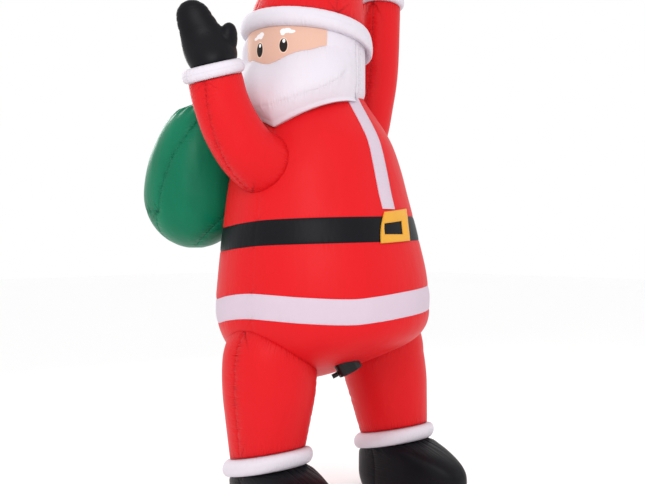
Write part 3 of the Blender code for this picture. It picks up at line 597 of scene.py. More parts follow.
def make_leg(name, hip, foot, form, seed):
    top = CUFF_MIDDLE_HEIGHT + CUFF_WIDTH / 2
    inward = -math.copysign(LEG_ROOT_INSET, hip[0])
    rows = (
        (0, LEG_ROOT_HEIGHT, LEG_ROOT_RADIUS, inward),
        (1, (LEG_ROOT_HEIGHT + LEG_TOP_HEIGHT) / 2, (LEG_ROOT_RADIUS + LEG_TOP_RADIUS * 3) / 4, inward / 4),
        (2, LEG_TOP_HEIGHT, LEG_TOP_RADIUS, 0.0),
        (3, LEG_KNEE_HEIGHT, LEG_KNEE_RADIUS, 0.0),
        (4, LEG_CALF_HEIGHT, LEG_CALF_RADIUS, 0.0),
        (5, top + GAP, LEG_ANKLE_RADIUS, 0.0),
    )
    table = fine_table(rows)
    piece = drum(name, LIMB_AROUND + 50, 170)

    def maker(angle, t):
        height, radius, aside = read_table(table, 5 * t)
        share = np.maximum(0.0, (LEG_TOP_HEIGHT - height) / (LEG_TOP_HEIGHT - top))
        x, y = radius * np.sin(angle), -radius * np.cos(angle)
        return np.stack([
            hip[0] + (foot[0] - hip[0]) * share + aside + x,
            hip[1] + (foot[1] - hip[1]) * share + y,
            height - CUFF_SLOPE * share**2 * y,
        ], 1)

    angle, t = shape_drum(piece, maker)
    outer, inner = (-86.0, 58.0) if hip[0] < 0 else (86.0, -128.0)
    press_seams(
        piece, angle, t, LEG_ROOT_HEIGHT - top, LEG_KNEE_RADIUS,
        ((seed, outer, outer, 0.060), (seed + 1, inner, inner, 0.120)),
        seed + 2, off_trunk(piece, form), seed + 3,
    )
    cut_away(piece, form)
    return piece


def puffed_band(
    name, centre, side, across, axis, radii, width, puff, seed, rise=0.0, turn=0.0, droop=0.0, around=220
):
    """A band that bulges between its two seams. Opposite the side where it is high it may droop."""
    centre, side, across, axis = (np.array(v, float) for v in (centre, side, across, axis))

    def maker(angle, t, runs):
        swing = np.arccos(1 - 2 * t)
        mean = (radii[0] + radii[1]) / 2
        for k, away in enumerate((width * t, width * (1 - t))):
            runs.append((seam(seed + k, 2 * math.pi * mean, reach=width * 0.5), angle * mean, away))
        radius = radii[0] + (radii[1] - radii[0]) * t + puff * np.sin(swing) ** 0.8 - deepest(runs)
        sag = droop * np.sin(swing) * (1 + np.cos(swing)) * DROOP_SHARE
        along = (t - 0.5) * (width - GAP) + rise * radius * np.cos(angle - turn)
        along = along - sag * ((1 - np.cos(angle - turn)) / 2) ** 4
        return centre + oval_ring(side, across, radius, radius, angle) + axis * along[:, None]

    return sewn(name, around, 28, maker)


def make_boot(name, foot, seed):
    top = CUFF_MIDDLE_HEIGHT - CUFF_WIDTH / 2 - GAP
    nose = BOOT_NOSE_HEIGHT / top
    piece = drum(name, 180, 70)

    def maker(angle, t):
        bulge = 1 - np.maximum(0.0, (t - nose) / (1 - nose)) ** BOOT_INSTEP
        inset = BOOT_SOLE_INSET * (1 - np.minimum(1.0, t / BOOT_SOLE_SHARE)) ** 2
        toe, heel, half = (
            BOOT_SHAFT_RADIUS + (reach - BOOT_SHAFT_RADIUS) * bulge - inset
            for reach in (BOOT_TOE_REACH, BOOT_HEEL_REACH, BOOT_HALF_WIDTH)
        )
        swell = 1.0 - (1.0 - BOOT_SQUARE) * np.minimum(1.0, bulge * 2)
        forward = np.cos(angle)
        aside = np.sign(np.sin(angle)) * np.abs(np.sin(angle)) ** swell
        y = np.where(forward > 0, -toe * forward, -heel * forward)
        lean = np.clip(y, -BOOT_SHAFT_RADIUS, BOOT_SHAFT_RADIUS)
        return np.stack([foot[0] + half * aside, foot[1] + y, top * t - CUFF_SLOPE * lean * t**3], 1)

    angle, t = shape_drum(piece, maker)
    side = beside(np.abs(angle), 90, BOOT_SHAFT_RADIUS)
    runs = [
        (seam(seed, 0.9, depth=0.003), angle * BOOT_SHAFT_RADIUS, top * (1 - t)),
        (seam(seed + 1, 0.3, reach=0.03, depth=0.0014), top * t, side),
    ]
    sunk = deepest(runs)
    sunk[t < 0.02] = 0.0
    sink(piece, sunk)
    seam_map(piece, runs)
    return piece


def make_arm(name, stations, form, seed, upright):
    """An arm's tube through its stations. Also gives the frame and the radius of its wrist."""
    rows = 160
    table = [(i, *station) for i, station in enumerate(stations)]
    path = [smooth_row(table, k * (len(stations) - 1) / rows) for k in range(rows + 1)]
    frames = path_frames([Vector(row[:3]) for row in path])
    centre, side, across = (np.array([f[k] for f in frames]) for k in range(3))
    radii = np.array([row[3] for row in path])
    piece = drum(name, LIMB_AROUND, rows)

    def maker(angle, t):
        k = np.rint(t * rows).astype(int)
        return centre[k] + oval_ring(side[k], across[k], radii[k], radii[k], angle)

    angle, t = shape_drum(piece, maker)
    length = sum((b[0] - a[0]).length for a, b in zip(frames, frames[1:]))
    press_seams(
        piece, angle, t, length, radii[-1],
        [(seed + k, root, end, 0.036) for k, (root, end) in enumerate(upright)],
        seed + 5, off_trunk(piece, form), seed + 6,
    )
    cut_away(piece, form)
    return piece, frames[-1], radii[-1]


def make_mitten(name, frame_at, thumb_side, seed):
    """A mitten: a flat hand and a thumb fused to its side, blown tight by simulation."""
    base, wide, thick, axis = (np.array(v, float) for v in frame_at)
    base = base + axis * GAP + wide * thumb_side * MITTEN_SHIFT
    hand_table, thumb_table = fine_table(MITTEN_SHAPE), fine_table(THUMB_SHAPE)
    start = base + axis * MITTEN_LENGTH * THUMB_START + wide * thumb_side * MITTEN_HALF_WIDTH * THUMB_ASIDE
    way = Vector(axis + wide * thumb_side * THUMB_LEAN).normalized()
    side = np.array(way.cross(Vector(thick)).normalized())
    way = np.array(way)

    def hand_maker(angle, t):
        share = rounded_rows(t)
        width, depth, drift = read_table(hand_table, share)
        round_wrist = 0.5 + 0.5 * np.cos(np.pi * np.minimum(1.0, share / 0.55))
        deep = MITTEN_HALF_THICK + (MITTEN_HALF_WIDTH - MITTEN_HALF_THICK) * round_wrist
        middle = base + axis * (MITTEN_LENGTH * share)[:, None]
        middle = middle - wide * (thumb_side * drift * MITTEN_HALF_WIDTH * 2)[:, None]
        return middle + oval_ring(wide, thick, MITTEN_HALF_WIDTH * width, deep * depth, angle)

    def thumb_maker(angle, t):
        share = rounded_rows(t)
        radius = THUMB_RADIUS * read_table(thumb_table, share)[0]
        return start + way * (THUMB_LENGTH * share)[:, None] + oval_ring(side, thick, radius, radius, angle)

    hand, thumb = drum(name, 110, 90), drum(name + "_thumb", 60, 40)
    shape_drum(hand, hand_maker)
    shape_drum(thumb, thumb_maker)
    apply_modifier(hand, "BOOLEAN", operation="UNION", solver="EXACT", object=thumb)
    bpy.data.objects.remove(thumb, do_unlink=True)
    apply_modifier(hand, "REMESH", mode="VOXEL", voxel_size=SIM_VOXEL, adaptivity=0.0)
    apply_modifier(hand, "SMOOTH", factor=0.5, iterations=6)
    points = points_of(hand) - base
    at_wrist = points @ axis < 0.006
    inflate(hand, at_wrist | (np.abs(points @ thick) < SIM_VOXEL))
    apply_modifier(hand, "SUBSURF", levels=1, render_levels=1)
    points = points_of(hand) - base
    along, away = points @ axis, np.abs(points @ thick)
    runs = [(seam(seed, MITTEN_LENGTH, spacing=0.018, reach=0.020, depth=0.0022), along, away)]
    sink(hand, deepest(runs) * (along > 0.004))
    seam_map(hand, runs)
    return hand


def head_way(angle):
    heading = math.radians(-90.0 - HEAD_TURN) + angle
    return np.stack([np.cos(heading), np.sin(heading), 0 * heading], -1)


def head_point(angle, height, radius):
    angle = np.asarray(angle, float)
    height, radius = np.broadcast_to(height, angle.shape), np.broadcast_to(radius, angle.shape)
    points = head_way(angle) * radius[..., None]
    points[..., 0] += HEAD_X
    points[..., 1] += HEAD_Y
    points[..., 2] += height
    return points


def brim_seam(angle, radius=HEAD_RADIUS):
    return BRIM_BOTTOM + BRIM_RISE * np.cos(angle - math.radians(BRIM_RISE_ANGLE)) * radius / HEAD_RADIUS


FACE_TABLE = fine_table(FACE_LOW, 200)


def face_low(angle):
    return read_table(FACE_TABLE, np.degrees(angle))[0]


def make_head(form):
    """The white drum of hair, set back where the face and beard lie on it."""
    recess_from = math.radians(BEARD_HALF_ANGLE) + GAP / HEAD_RADIUS

    def maker(angle, t, runs):
        height = HEAD_BOTTOM + (brim_seam(angle) - GAP - HEAD_BOTTOM) * t
        rounding = 0.16 * (1 - np.minimum(1.0, t / 0.3)) ** 2
        radius = HEAD_RADIUS * (1 - rounding)
        radius = np.where(np.abs(angle) < recess_from, radius - HAIR_DEPTH - GAP, radius)
        away = np.maximum(0.0, np.abs(angle) - recess_from) * HEAD_RADIUS
        runs.append((seam(61, 0.5, depth=0.0020), height, away))
        runs.extend(upright_runs(angle, height, HEAD_RADIUS, HAIR_SEAMS, 62, 0.5, depth=0.0020))
        return head_point(angle, height, radius - deepest(runs))

    piece = sewn("head_panel", 260, 90, maker)
    cut_away(piece, form)
    return piece


def profile_drum(name, around, rows, half_angle, section):
    """A body that follows the head round: section(angle) gives the closed outline at each angle."""
    piece = drum(name, around, rows)
    outlines = np.stack([section(angle, around) for angle in np.linspace(-half_angle, half_angle, rows + 1)])
    row, step, pole = grid_of(piece, around, rows)
    points = outlines[row, step]
    for end in (0, rows):
        points[pole & (row == end)] = outlines[end].mean(0)
    set_points(piece, points)
    face_outward(piece)
    return piece


def resampled(corners, counts):
    """Points along a run of corners, with a set number on each stretch."""
    points = []
    for (a, b), count in zip(zip(corners, corners[1:] + corners[:1]), counts):
        for step in range(count):
            points.append(a + (b - a) * step / count)
    return np.array(points)


def make_face():
    """The face: one curved panel of peach cloth between the brim and the beard."""
    inner = HEAD_RADIUS - 0.055

    def section(angle, around):
        low = float(face_low(np.array([angle]))[0])
        out, back = HEAD_RADIUS, inner
        corners = [
            np.array((back, low)), np.array((out, low)),
            np.array((out, brim_seam(angle, out) - GAP)), np.array((back, brim_seam(angle, back) - GAP)),
        ]
        quarter = around // 4
        run = resampled(corners, (8, around - 8 - 8 - quarter, 8, quarter))
        swell = 0.0025 * np.sin(np.pi * np.clip((run[:, 1] - low) / 0.1, 0, 1))
        radius = run[:, 0] + np.where(run[:, 0] > back + 0.04, swell, 0.0)
        return head_point(np.full(len(run), angle), run[:, 1], radius)

    return profile_drum("face_panel", 96, 120, math.radians(FACE_HALF_ANGLE), section)


def make_beard(form):
    """The beard and the hair beside the face: one puffed panel that hangs over the chest."""
    half, front = math.radians(BEARD_HALF_ANGLE), 84
    inner = HEAD_RADIUS - HAIR_DEPTH
    edge = math.radians(FACE_HALF_ANGLE) + GAP / HEAD_RADIUS
    crease_table = fine_table(BEARD_CREASE)
    under_creases, lip_creases, strip_creases = (
        seam(seed, 1.2, spacing=0.020, reach=reach, depth=depth)
        for seed, reach, depth in ((65, 0.026, 0.0034), (66, 0.018, 0.0010), (67, 0.016, 0.0008))
    )
    steep = np.gradient(crease_table[1][:, 0], np.radians(crease_table[0]) * HEAD_RADIUS)

    def runs_at(angle, height):
        """Seams that the beard shows at places given by angle and height."""
        slope = np.interp(np.degrees(angle), crease_table[0], steep)
        under = (height - read_table(crease_table, np.degrees(angle))[0]) / np.sqrt(1 + slope**2)
        beyond = np.maximum(0.0, np.abs(angle) - math.radians(66.0)) * HEAD_RADIUS
        lip = np.abs(face_low(angle) - height) + 0.2 * (np.abs(angle) > edge)
        strip = (half - np.abs(angle)) * HEAD_RADIUS
        return [
            (under_creases, angle * HEAD_RADIUS, np.abs(under) + beyond),
            (lip_creases, angle * HEAD_RADIUS, lip),
            (strip_creases, height, np.maximum(strip, 0.0)),
        ], under + beyond

    def section(angle, around):
        to_side = abs(angle) / half
        low = BEARD_TIP_HEIGHT + (BEARD_SIDE_HEIGHT - BEARD_TIP_HEIGHT) * math.sin(math.pi / 2 * to_side)
        by_face = abs(angle) > edge
        lip = float(face_low(np.array([angle]))[0]) - GAP
        puff = BEARD_PUFF * (1 - to_side**2.2)
        share = np.linspace(0, 1, front)
        swell = np.sin(np.pi * share**0.75)
        hair = HAIR_PUFF * max(0.0, 1 - ((math.degrees(angle) - HAIR_PUFF_ANGLE) / HAIR_PUFF_SPREAD) ** 2)
        radius = HEAD_RADIUS + BEARD_EDGE * (1 - share**4) + puff * swell + hair * share
        height = low + (lip - low) * share
        runs, under = runs_at(np.full(front, angle), height)
        tuck = BEARD_TUCK * (1 - np.exp(np.minimum(0.0, under) / 0.02))
        ends = np.minimum(1.0, share * 12) * np.minimum(1.0, (1 - share) * 30)
        radius = radius - (deepest(runs) + tuck) * ends
        top_out = (brim_seam(angle) if by_face else lip) - GAP
        top_in = (brim_seam(angle, inner) if by_face else lip) - GAP
        upper = np.linspace(0, 1, 20)[1:]
        run = np.concatenate([
            np.stack([radius, height], 1),
            np.stack([HEAD_RADIUS + hair * (1 - upper**5), height[-1] + (top_out - height[-1]) * upper], 1),
            np.stack([HEAD_RADIUS + (inner - HEAD_RADIUS) * upper[:9] / upper[8],
                      top_out + (top_in - top_out) * upper[:9] / upper[8]], 1),
            np.stack([np.full(around - front - 28, inner),
                      np.linspace(top_in, low, around - front - 28 + 1)[1:]], 1),
        ])
        return head_point(np.full(len(run), angle), run[:, 1], run[:, 0])

    piece = profile_drum("beard_panel", 150, 260, half, section)
    points = points_of(piece)
    heading = np.arctan2(points[:, 1] - HEAD_Y, points[:, 0] - HEAD_X) + math.radians(90.0 + HEAD_TURN)
    seam_map(piece, runs_at(wrapped(heading), points[:, 2])[0])
    cut_away(piece, form)
    return piece


def make_hat():
    """The rolled brim, the cap that leans to its point, and the pompom on it."""
    slope, turn = BRIM_RISE / HEAD_RADIUS, math.radians(BRIM_RISE_ANGLE)
    front, aside = head_way(np.array(0.0)), head_way(np.array(math.pi / 2))
    brim = puffed_band(
        "brim_roll", (HEAD_X, HEAD_Y, BRIM_BOTTOM + BRIM_WIDTH / 2), front, aside, (0, 0, 1),
        (HEAD_RADIUS, HAT_RADIUS), BRIM_WIDTH, BRIM_PUFF, 71,
        rise=slope, turn=turn, droop=BRIM_DROOP, around=300,
    )
    foot = BRIM_BOTTOM + BRIM_WIDTH + GAP

    def cap(angle, t, runs):
        share = 0.995 * rounded_rows(t, 1.3)
        height = foot + (HAT_TOP - foot) * share
        radius = HAT_RADIUS * dome(share**HAT_POINT)
        runs.append((seam(74, 1.5, depth=0.0022), angle * HAT_RADIUS, height - foot))
        runs.extend(upright_runs(angle, height, radius, HAT_SEAMS, 75, 0.6, depth=0.0018))
        rise = slope * radius * np.cos(angle - turn) * (1 - share)
        points = head_point(angle, height + rise, np.maximum(radius - deepest(runs), 0.001))
        points[:, :2] += np.array(HAT_LEAN) * share[:, None]
        return points

    def ball(angle, t, runs):
        polar = np.pi * (0.005 + 0.99 * t)
        radius = POMPOM_RADIUS * np.sin(polar)
        along, gores = POMPOM_RADIUS * polar, range(0, 360, 60)
        runs.extend(upright_runs(angle, along, np.maximum(radius, 0.002), gores, 81, 0.24, reach=0.02))
        radius = np.maximum(radius - deepest(runs) * np.sin(polar), 0.0005)
        return np.stack([
            HEAD_X + HAT_LEAN[0] + radius * np.cos(angle), HEAD_Y + HAT_LEAN[1] + radius * np.sin(angle),
            HAT_TOP - POMPOM_RADIUS * np.cos(polar),
        ], 1)

    piece, pompom = sewn("hat_cap", 260, 110, cap), sewn("pompom_ball", 120, 60, ball)
    cut_away(piece, pompom)
    return brim, piece, pompom


def make_sack(form):
    """The blown sack on the back: a bag of four gores and a patch, gathered to a frilled neck."""
    middle = SACK_MIDDLE

    def maker(angle, t, runs):
        share = 0.004 + 0.956 * (1 - np.cos(np.pi * np.minimum(1.0, t / SACK_BAG_ROWS))) / 2
        belly = dome(np.abs(share - middle) / np.where(share < middle, middle, 1 - middle))
        neck = np.where(share > middle, SACK_NECK_RADIUS * (1 - belly), 0.0)
        up = np.clip((t - SACK_BAG_ROWS) / (1 - SACK_BAG_ROWS), 0, 1)
        top = t > SACK_BAG_ROWS
        mouth = SACK_NECK_RADIUS * (1.0 - 0.5 * up + 0.75 * up**2) * (1 + 0.10 * up * np.sin(9 * angle))
        half_width = np.where(top, mouth, SACK_HALF_WIDTH * belly + neck)
        half_depth = np.where(top, mouth, SACK_HALF_DEPTH * belly + neck)
        height = SACK_BOTTOM + np.where(top, SACK_HEIGHT + SACK_NECK_LENGTH * up, SACK_HEIGHT * share)
        lean = SACK_NECK_LEAN * np.where(
            top, (1 - middle) ** 1.5 + 0.3 * up, np.maximum(0.0, share - middle) ** 1.5
        )
        gather = 0.012 * np.clip((share - 0.86) / 0.10, 0, 1) ** 2 * ~top
        ripple = gather * (0.5 + 0.5 * np.sin(22 * angle + 2 * np.sin(3 * angle)))
        seam_at = np.interp(share, *zip(*SACK_SEAM))
        runs.extend(upright_runs(
            angle, SACK_HEIGHT * share, np.maximum(half_width, 0.01), [seam_at - 90 * k for k in range(4)],
            91, 0.8, spacing=0.020, reach=0.034, depth=0.0050,
        ))
        off_seam = wrapped(angle - np.radians(seam_at))
        outside = 0.3 * ((off_seam > 0) | (off_seam < -math.pi / 2))
        away = SACK_HEIGHT * np.abs(share - SACK_PATCH_SEAM) + outside
        runs.append((seam(96, 1.3, spacing=0.020, depth=0.0040), angle * SACK_HALF_WIDTH, away))
        sunk = ripple + deepest(runs)
        return np.stack([
            SACK_X + np.maximum(half_width - sunk, 0.001) * np.sin(angle),
            SACK_Y + lean - np.maximum(half_depth - sunk, 0.001) * np.cos(angle), height,
        ], 1)

    piece = sewn("sack_bag", 320, 190, maker)
    cut_away(piece, form)
    return piece


BUCKLE_MIDDLE = float(belt_seam(BELT_BOTTOM + BELT_WIDTH / 2)(0.0))


def make_placket():
    """The white strip let into the front of the jacket."""
    around, rows = 48, 160
    strip = drum("placket_strip", around, rows)
    row, step, pole = grid_of(strip, around, rows)
    across = np.concatenate([np.linspace(-1, 1, 25)[:-1], np.linspace(1, -1, 25)[:-1]])[step]
    outer = (step >= around // 2) & (across > -1 + 1e-6) | (across > 1 - 1e-6)
    height = np.linspace(BUCKLE_MIDDLE + PLACKET_OVER_BELT, NECK_HEIGHT - 0.004, rows + 1)[row]
    half = PLACKET_WIDTH / 2 - GAP
    out = np.where(outer, PLACKET_PROUD + 0.0012 * (1 - across**4), PLACKET_PROUD - PLACKET_THICK)
    points = trunk_point(across * half / trunk_breadths(height)[1], height, out)
    points[pole] = trunk_point(np.zeros(pole.sum()), height[pole], np.full(pole.sum(), -0.004))
    set_points(strip, points)
    face_outward(strip)
    seam_map(strip, [(None, height, half * (1 - np.abs(across)))])
    return strip


def loop_along(corners, per_side, bulge=0.0):
    """Points along a crooked square, its left side pushed out a little."""
    points = []
    for side_index, ((ax, ay), (bx, by)) in enumerate(zip(corners, corners[1:] + corners[:1])):
        for step in range(per_side):
            s = step / per_side
            x, y = ax + (bx - ax) * s, ay + (by - ay) * s
            if side_index == 3:
                x -= bulge * math.sin(math.pi * s)
            points.append((x, y))
    return np.array(points)


def make_buckle():
    """The buckle: a puffed frame of gold cloth, sewn on by hand and a little crooked."""
    per_side = 24
    around, rows = per_side * 4, 24
    outer = loop_along(BUCKLE_OUTER, per_side, BUCKLE_BULGE)
    inner = loop_along(BUCKLE_INNER, per_side)
    nothing_selected()
    bpy.ops.mesh.primitive_torus_add(
        major_segments=around, minor_segments=rows, major_radius=1.0, minor_radius=0.25
    )
    piece = bpy.context.active_object
    piece.name = piece.data.name = "buckle_frame"
    unit = points_of(piece)
    i = grid_of(piece, around, rows)[1]
    turn = np.arctan2(unit[:, 2], np.hypot(unit[:, 0], unit[:, 1]) - 1.0)
    share = 0.5 + 0.5 * np.cos(turn)
    flat = inner[i] + (outer[i] - inner[i]) * share[:, None]
    height = BUCKLE_MIDDLE + flat[:, 1] + BUCKLE_SKEW * flat[:, 0] / BELLY_FRONT
    plump = np.abs(np.sin(turn)) ** 0.6
    creases = seam(101, 0.5, spacing=0.016, reach=0.02, depth=0.0016)
    sunk = crease_depth(creases, i / around * 0.5, np.minimum(share, 1 - share) * 0.03) * (turn > 0)
    out = 0.0016 + BUCKLE_THICK * np.where(turn > 0, plump, 0.0) - sunk * plump
    set_points(piece, trunk_point(flat[:, 0] / trunk_breadths(height)[1], height, out))
    face_outward(piece)
    return piece


def make_grille():
    """The fan's guard: three rings and four crossed bars, where the solid grille lies."""
    low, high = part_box("blower_grille")
    housing = frame["nodes"]["blower_grille"].data
    normals = [p.normal.copy() * p.area for p in housing.polygons if p.normal.z < -0.3]
    way = sum(normals, Vector()).normalized()
    middle = (low + high) / 2
    turn = way.to_track_quat("Z", "Y").to_matrix().to_4x4()
    radius = max(
        ((v.co - middle) - way * (v.co - middle).dot(way)).length for v in housing.vertices
    )
    bar = 0.0016
    parts = []
    for share in (0.965, 0.68, 0.40, 0.14):
        nothing_selected()
        bpy.ops.mesh.primitive_torus_add(
            major_segments=64, minor_segments=8, major_radius=radius * share, minor_radius=bar
        )
        parts.append(bpy.context.active_object)
    for k in range(4):
        nothing_selected()
        bpy.ops.mesh.primitive_cylinder_add(vertices=10, radius=bar * 0.9, depth=radius * 1.94)
        spoke = bpy.context.active_object
        spoke.data.transform(Matrix.Rotation(math.pi / 2, 4, "X"))
        spoke.data.transform(Matrix.Rotation(k * math.pi / 4, 4, "Z"))
        parts.append(spoke)
    nothing_selected()
    for part in parts:
        part.select_set(True)
    bpy.context.view_layer.objects.active = parts[0]
    bpy.ops.object.join()
    piece = bpy.context.active_object
    piece.name = piece.data.name = "fan_guard"
    piece.data.transform(Matrix.Translation(middle) @ turn)
    return piece


def group(name, inputs, outputs):
    """A shader node group with named inputs and outputs."""
    made = bpy.data.node_groups.new(name, "ShaderNodeTree")
    for kind, label, default in inputs:
        socket = made.interface.new_socket(label, in_out="INPUT", socket_type=kind)
        if default is not None:
            socket.default_value = default
    for kind, label in outputs:
        made.interface.new_socket(label, in_out="OUTPUT", socket_type=kind)
    return made, made.nodes.new("NodeGroupInput"), made.nodes.new("NodeGroupOutput")


def feed(tree, value, socket):
    """Sets a socket to a plain value, or links another node's output to it."""
    if isinstance(value, bpy.types.NodeSocket):
        tree.links.new(value, socket)
    else:
        socket.default_value = value


def add_node(tree, kind, **inputs):
    """A shader node, with its inputs given by their names."""
    node = tree.nodes.new("ShaderNode" + kind)
    for label, value in inputs.items():
        feed(tree, value, node.inputs[label])
    return node


def add_bump(tree, height, strength, distance, **inputs):
    return add_node(tree, "Bump", Height=height, Strength=strength, Distance=distance, **inputs)


def maths(tree, operation, first, second=None, clamp=False):
    node = tree.nodes.new("ShaderNodeMath")
    node.operation, node.use_clamp = operation, clamp
    for socket, value in zip(node.inputs, (first, second)):
        if value is not None:
            feed(tree, value, socket)
    return node.outputs[0]


def times(tree, first, second):
    return maths(tree, "MULTIPLY", first, second)


def cloth_group():
    """Satin cloth: a faint weave, soft tension folds, gathers at the seams, a colour that varies at random,
    and painted shade that darkens the cloth a little along its seams and their creases.
    """
    tree, start, end = group(
        "satin_cloth",
        (("NodeSocketColor", "Cloth", None), ("NodeSocketFloat", "Folds", 1.0),
         ("NodeSocketFloat", "Mottle", 0.05), ("NodeSocketFloat", "Gloss", 0.42),
         ("NodeSocketVector", "Seams", None), ("NodeSocketFloat", "Creases", 1.0)),
        (("NodeSocketColor", "Colour"), ("NodeSocketFloat", "Roughness"), ("NodeSocketVector", "Normal")),
    )
    cloth, fold_share, mottle, gloss, seams, creases = start.outputs[:6]
    place = add_node(tree, "TexCoord").outputs["Object"]

    def noise(scale, detail, stretch=(1, 1, 1)):
        at = add_node(tree, "Mapping", Vector=place, Scale=stretch).outputs["Vector"]
        return add_node(tree, "TexNoise", Vector=at, Scale=scale, Detail=detail).outputs["Fac"]

    def fall(distance, rate):
        """A share that falls away from a seam."""
        return maths(tree, "POWER", 2.718, times(tree, distance, -rate))

    broad, drawn, fine = noise(3.0, 2.0), noise(9.0, 3.0, (1, 1, 0.35)), noise(420.0, 1.0)
    threads = []
    for axis in ("X", "Z"):
        wave = add_node(tree, "TexWave", Vector=place, Scale=330.0)
        wave.bands_direction = axis
        threads.append(wave.outputs["Fac"])
    weave = times(tree, maths(tree, "ADD", *threads), 0.5)
    folds = times(tree, maths(tree, "ADD", broad, times(tree, drawn, 0.5)), fold_share)
    fold_bump = add_bump(tree, folds, 0.35, 0.02)

    split = add_node(tree, "SeparateXYZ", Vector=seams)
    along, away = split.outputs["X"], split.outputs["Y"]
    spread = add_node(tree, "CombineXYZ", X=times(tree, along, 95.0), Y=times(tree, away, 14.0))
    gathers = add_node(tree, "TexNoise", Vector=spread.outputs[0], Scale=1.0, Detail=1.5).outputs["Fac"]
    ridge = maths(tree, "ABSOLUTE", maths(tree, "SUBTRACT", gathers, 0.5))
    sharp = maths(tree, "SUBTRACT", 1.0, times(tree, ridge, 7.0), clamp=True)
    fade = maths(tree, "ADD", times(tree, fall(away, 55.0), 0.7), times(tree, fall(away, 15.0), 0.3))
    room = maths(tree, "SUBTRACT", 1.0, times(tree, away, 11.0), clamp=True)
    crease = times(tree, times(tree, sharp, times(tree, fade, room)), creases)
    seam_relief_and_shade = maths(tree, "ADD", crease, times(tree, fall(away, 420.0), creases))
    seam_bump = add_bump(tree, seam_relief_and_shade, 0.9, 0.0032, Normal=fold_bump.outputs["Normal"])
    seam_bump.invert = True
    thread_bump = add_bump(tree, weave, 0.06, 0.0006, Normal=seam_bump.outputs["Normal"])
    feed(tree, thread_bump.outputs["Normal"], end.inputs["Normal"])

    shade = maths(tree, "ADD", times(tree, drawn, 0.7), times(tree, fine, 0.3))
    centred = maths(tree, "SUBTRACT", shade, 0.5)
    factor = maths(tree, "ADD", times(tree, centred, mottle), 1.0)
    # Painted shade: the colour is darkened a little along the seams and their creases.
    factor = maths(tree, "SUBTRACT", factor, times(tree, seam_relief_and_shade, 0.03))
    tint = tree.nodes.new("ShaderNodeVectorMath")
    tint.operation = "SCALE"
    feed(tree, cloth, tint.inputs[0])
    feed(tree, factor, tint.inputs["Scale"])
    feed(tree, tint.outputs["Vector"], end.inputs["Colour"])
    rough = maths(tree, "ADD", gloss, times(tree, centred, 0.12), clamp=True)
    feed(tree, rough, end.inputs["Roughness"])
    return tree


def oval_group():
    """A mask that is 1 inside an oval on the printed face, and its soft edge."""
    tree, start, end = group(
        "printed_oval",
        (("NodeSocketVector", "Place", None), ("NodeSocketFloat", "Across", 0.0),
         ("NodeSocketFloat", "Up", 0.0), ("NodeSocketFloat", "Wide", 1.0), ("NodeSocketFloat", "High", 1.0)),
        (("NodeSocketFloat", "Mask"),),
    )
    split = add_node(tree, "SeparateXYZ", Vector=start.outputs["Place"])
    squares = []
    for axis, middle, size in (("X", "Across", "Wide"), ("Y", "Up", "High")):
        away = maths(tree, "SUBTRACT", split.outputs[axis], start.outputs[middle])
        share = maths(tree, "ABSOLUTE", maths(tree, "DIVIDE", away, start.outputs[size]))
        squares.append(maths(tree, "POWER", share, 2.0))
    inside = maths(tree, "SUBTRACT", 1.0, maths(tree, "ADD", *squares))
    feed(tree, maths(tree, "MULTIPLY", inside, 9.0, clamp=True), end.inputs["Mask"])
    return tree


CLOTH = cloth_group()
OVAL = oval_group()


def new_material(name, **inputs):
    """A material, its node tree and its shader, with some of the shader's inputs set."""
    made = bpy.data.materials.new(name)
    made.use_nodes = True
    shader = made.node_tree.nodes["Principled BSDF"]
    for label, value in inputs.items():
        shader.inputs[label.replace("_", " ")].default_value = value
    return made, made.node_tree, shader


def cloth_material(name, colour, roughness, folds=1.0, mottle=0.05, specular=0.3, creases=1.0):
    made, tree, shader = new_material(name, Specular_IOR_Level=specular)
    node = tree.nodes.new("ShaderNodeGroup")
    node.node_tree = CLOTH
    values = {"Cloth": (*colour, 1), "Folds": folds, "Mottle": mottle, "Gloss": roughness, "Creases": creases}
    for label, value in values.items():
        node.inputs[label].default_value = value
    if creases:
        uv = tree.nodes.new("ShaderNodeUVMap")
        uv.uv_map = "seams"
        feed(tree, uv.outputs["UV"], node.inputs["Seams"])
    for ours, its in (("Colour", "Base Color"), ("Roughness", "Roughness"), ("Normal", "Normal")):
        feed(tree, node.outputs[ours], shader.inputs[its])
    return made


RED = cloth_material("red_satin", (0.660, 0.008, 0.012), 0.45, folds=1.4, mottle=0.10, specular=0.14)
WHITE = cloth_material("white_satin", (0.690, 0.640, 0.705), 0.55, mottle=0.06, specular=0.12, creases=0.45)
# A darker copy of the white cloth, used for the hem strip and the placket: painted shade.
SHADED_WHITE = cloth_material("shaded_white_satin", (0.615, 0.500, 0.585), 0.55, mottle=0.12, specular=0.12, creases=0.6)
BLACK = cloth_material("black_satin", (0.005, 0.0048, 0.007), 0.42, specular=0.12, creases=0.4)
GREEN = cloth_material("green_satin", (0.001, 0.165, 0.082), 0.38, folds=2.0, mottle=0.8, specular=0.16)
GOLD = cloth_material("gold_satin", (0.720, 0.350, 0.030), 0.45, folds=1.2, mottle=0.5, creases=0.0)
PEACH = cloth_material("peach_satin", (0.700, 0.430, 0.335), 0.55, folds=0.5, specular=0.1, creases=0.0)

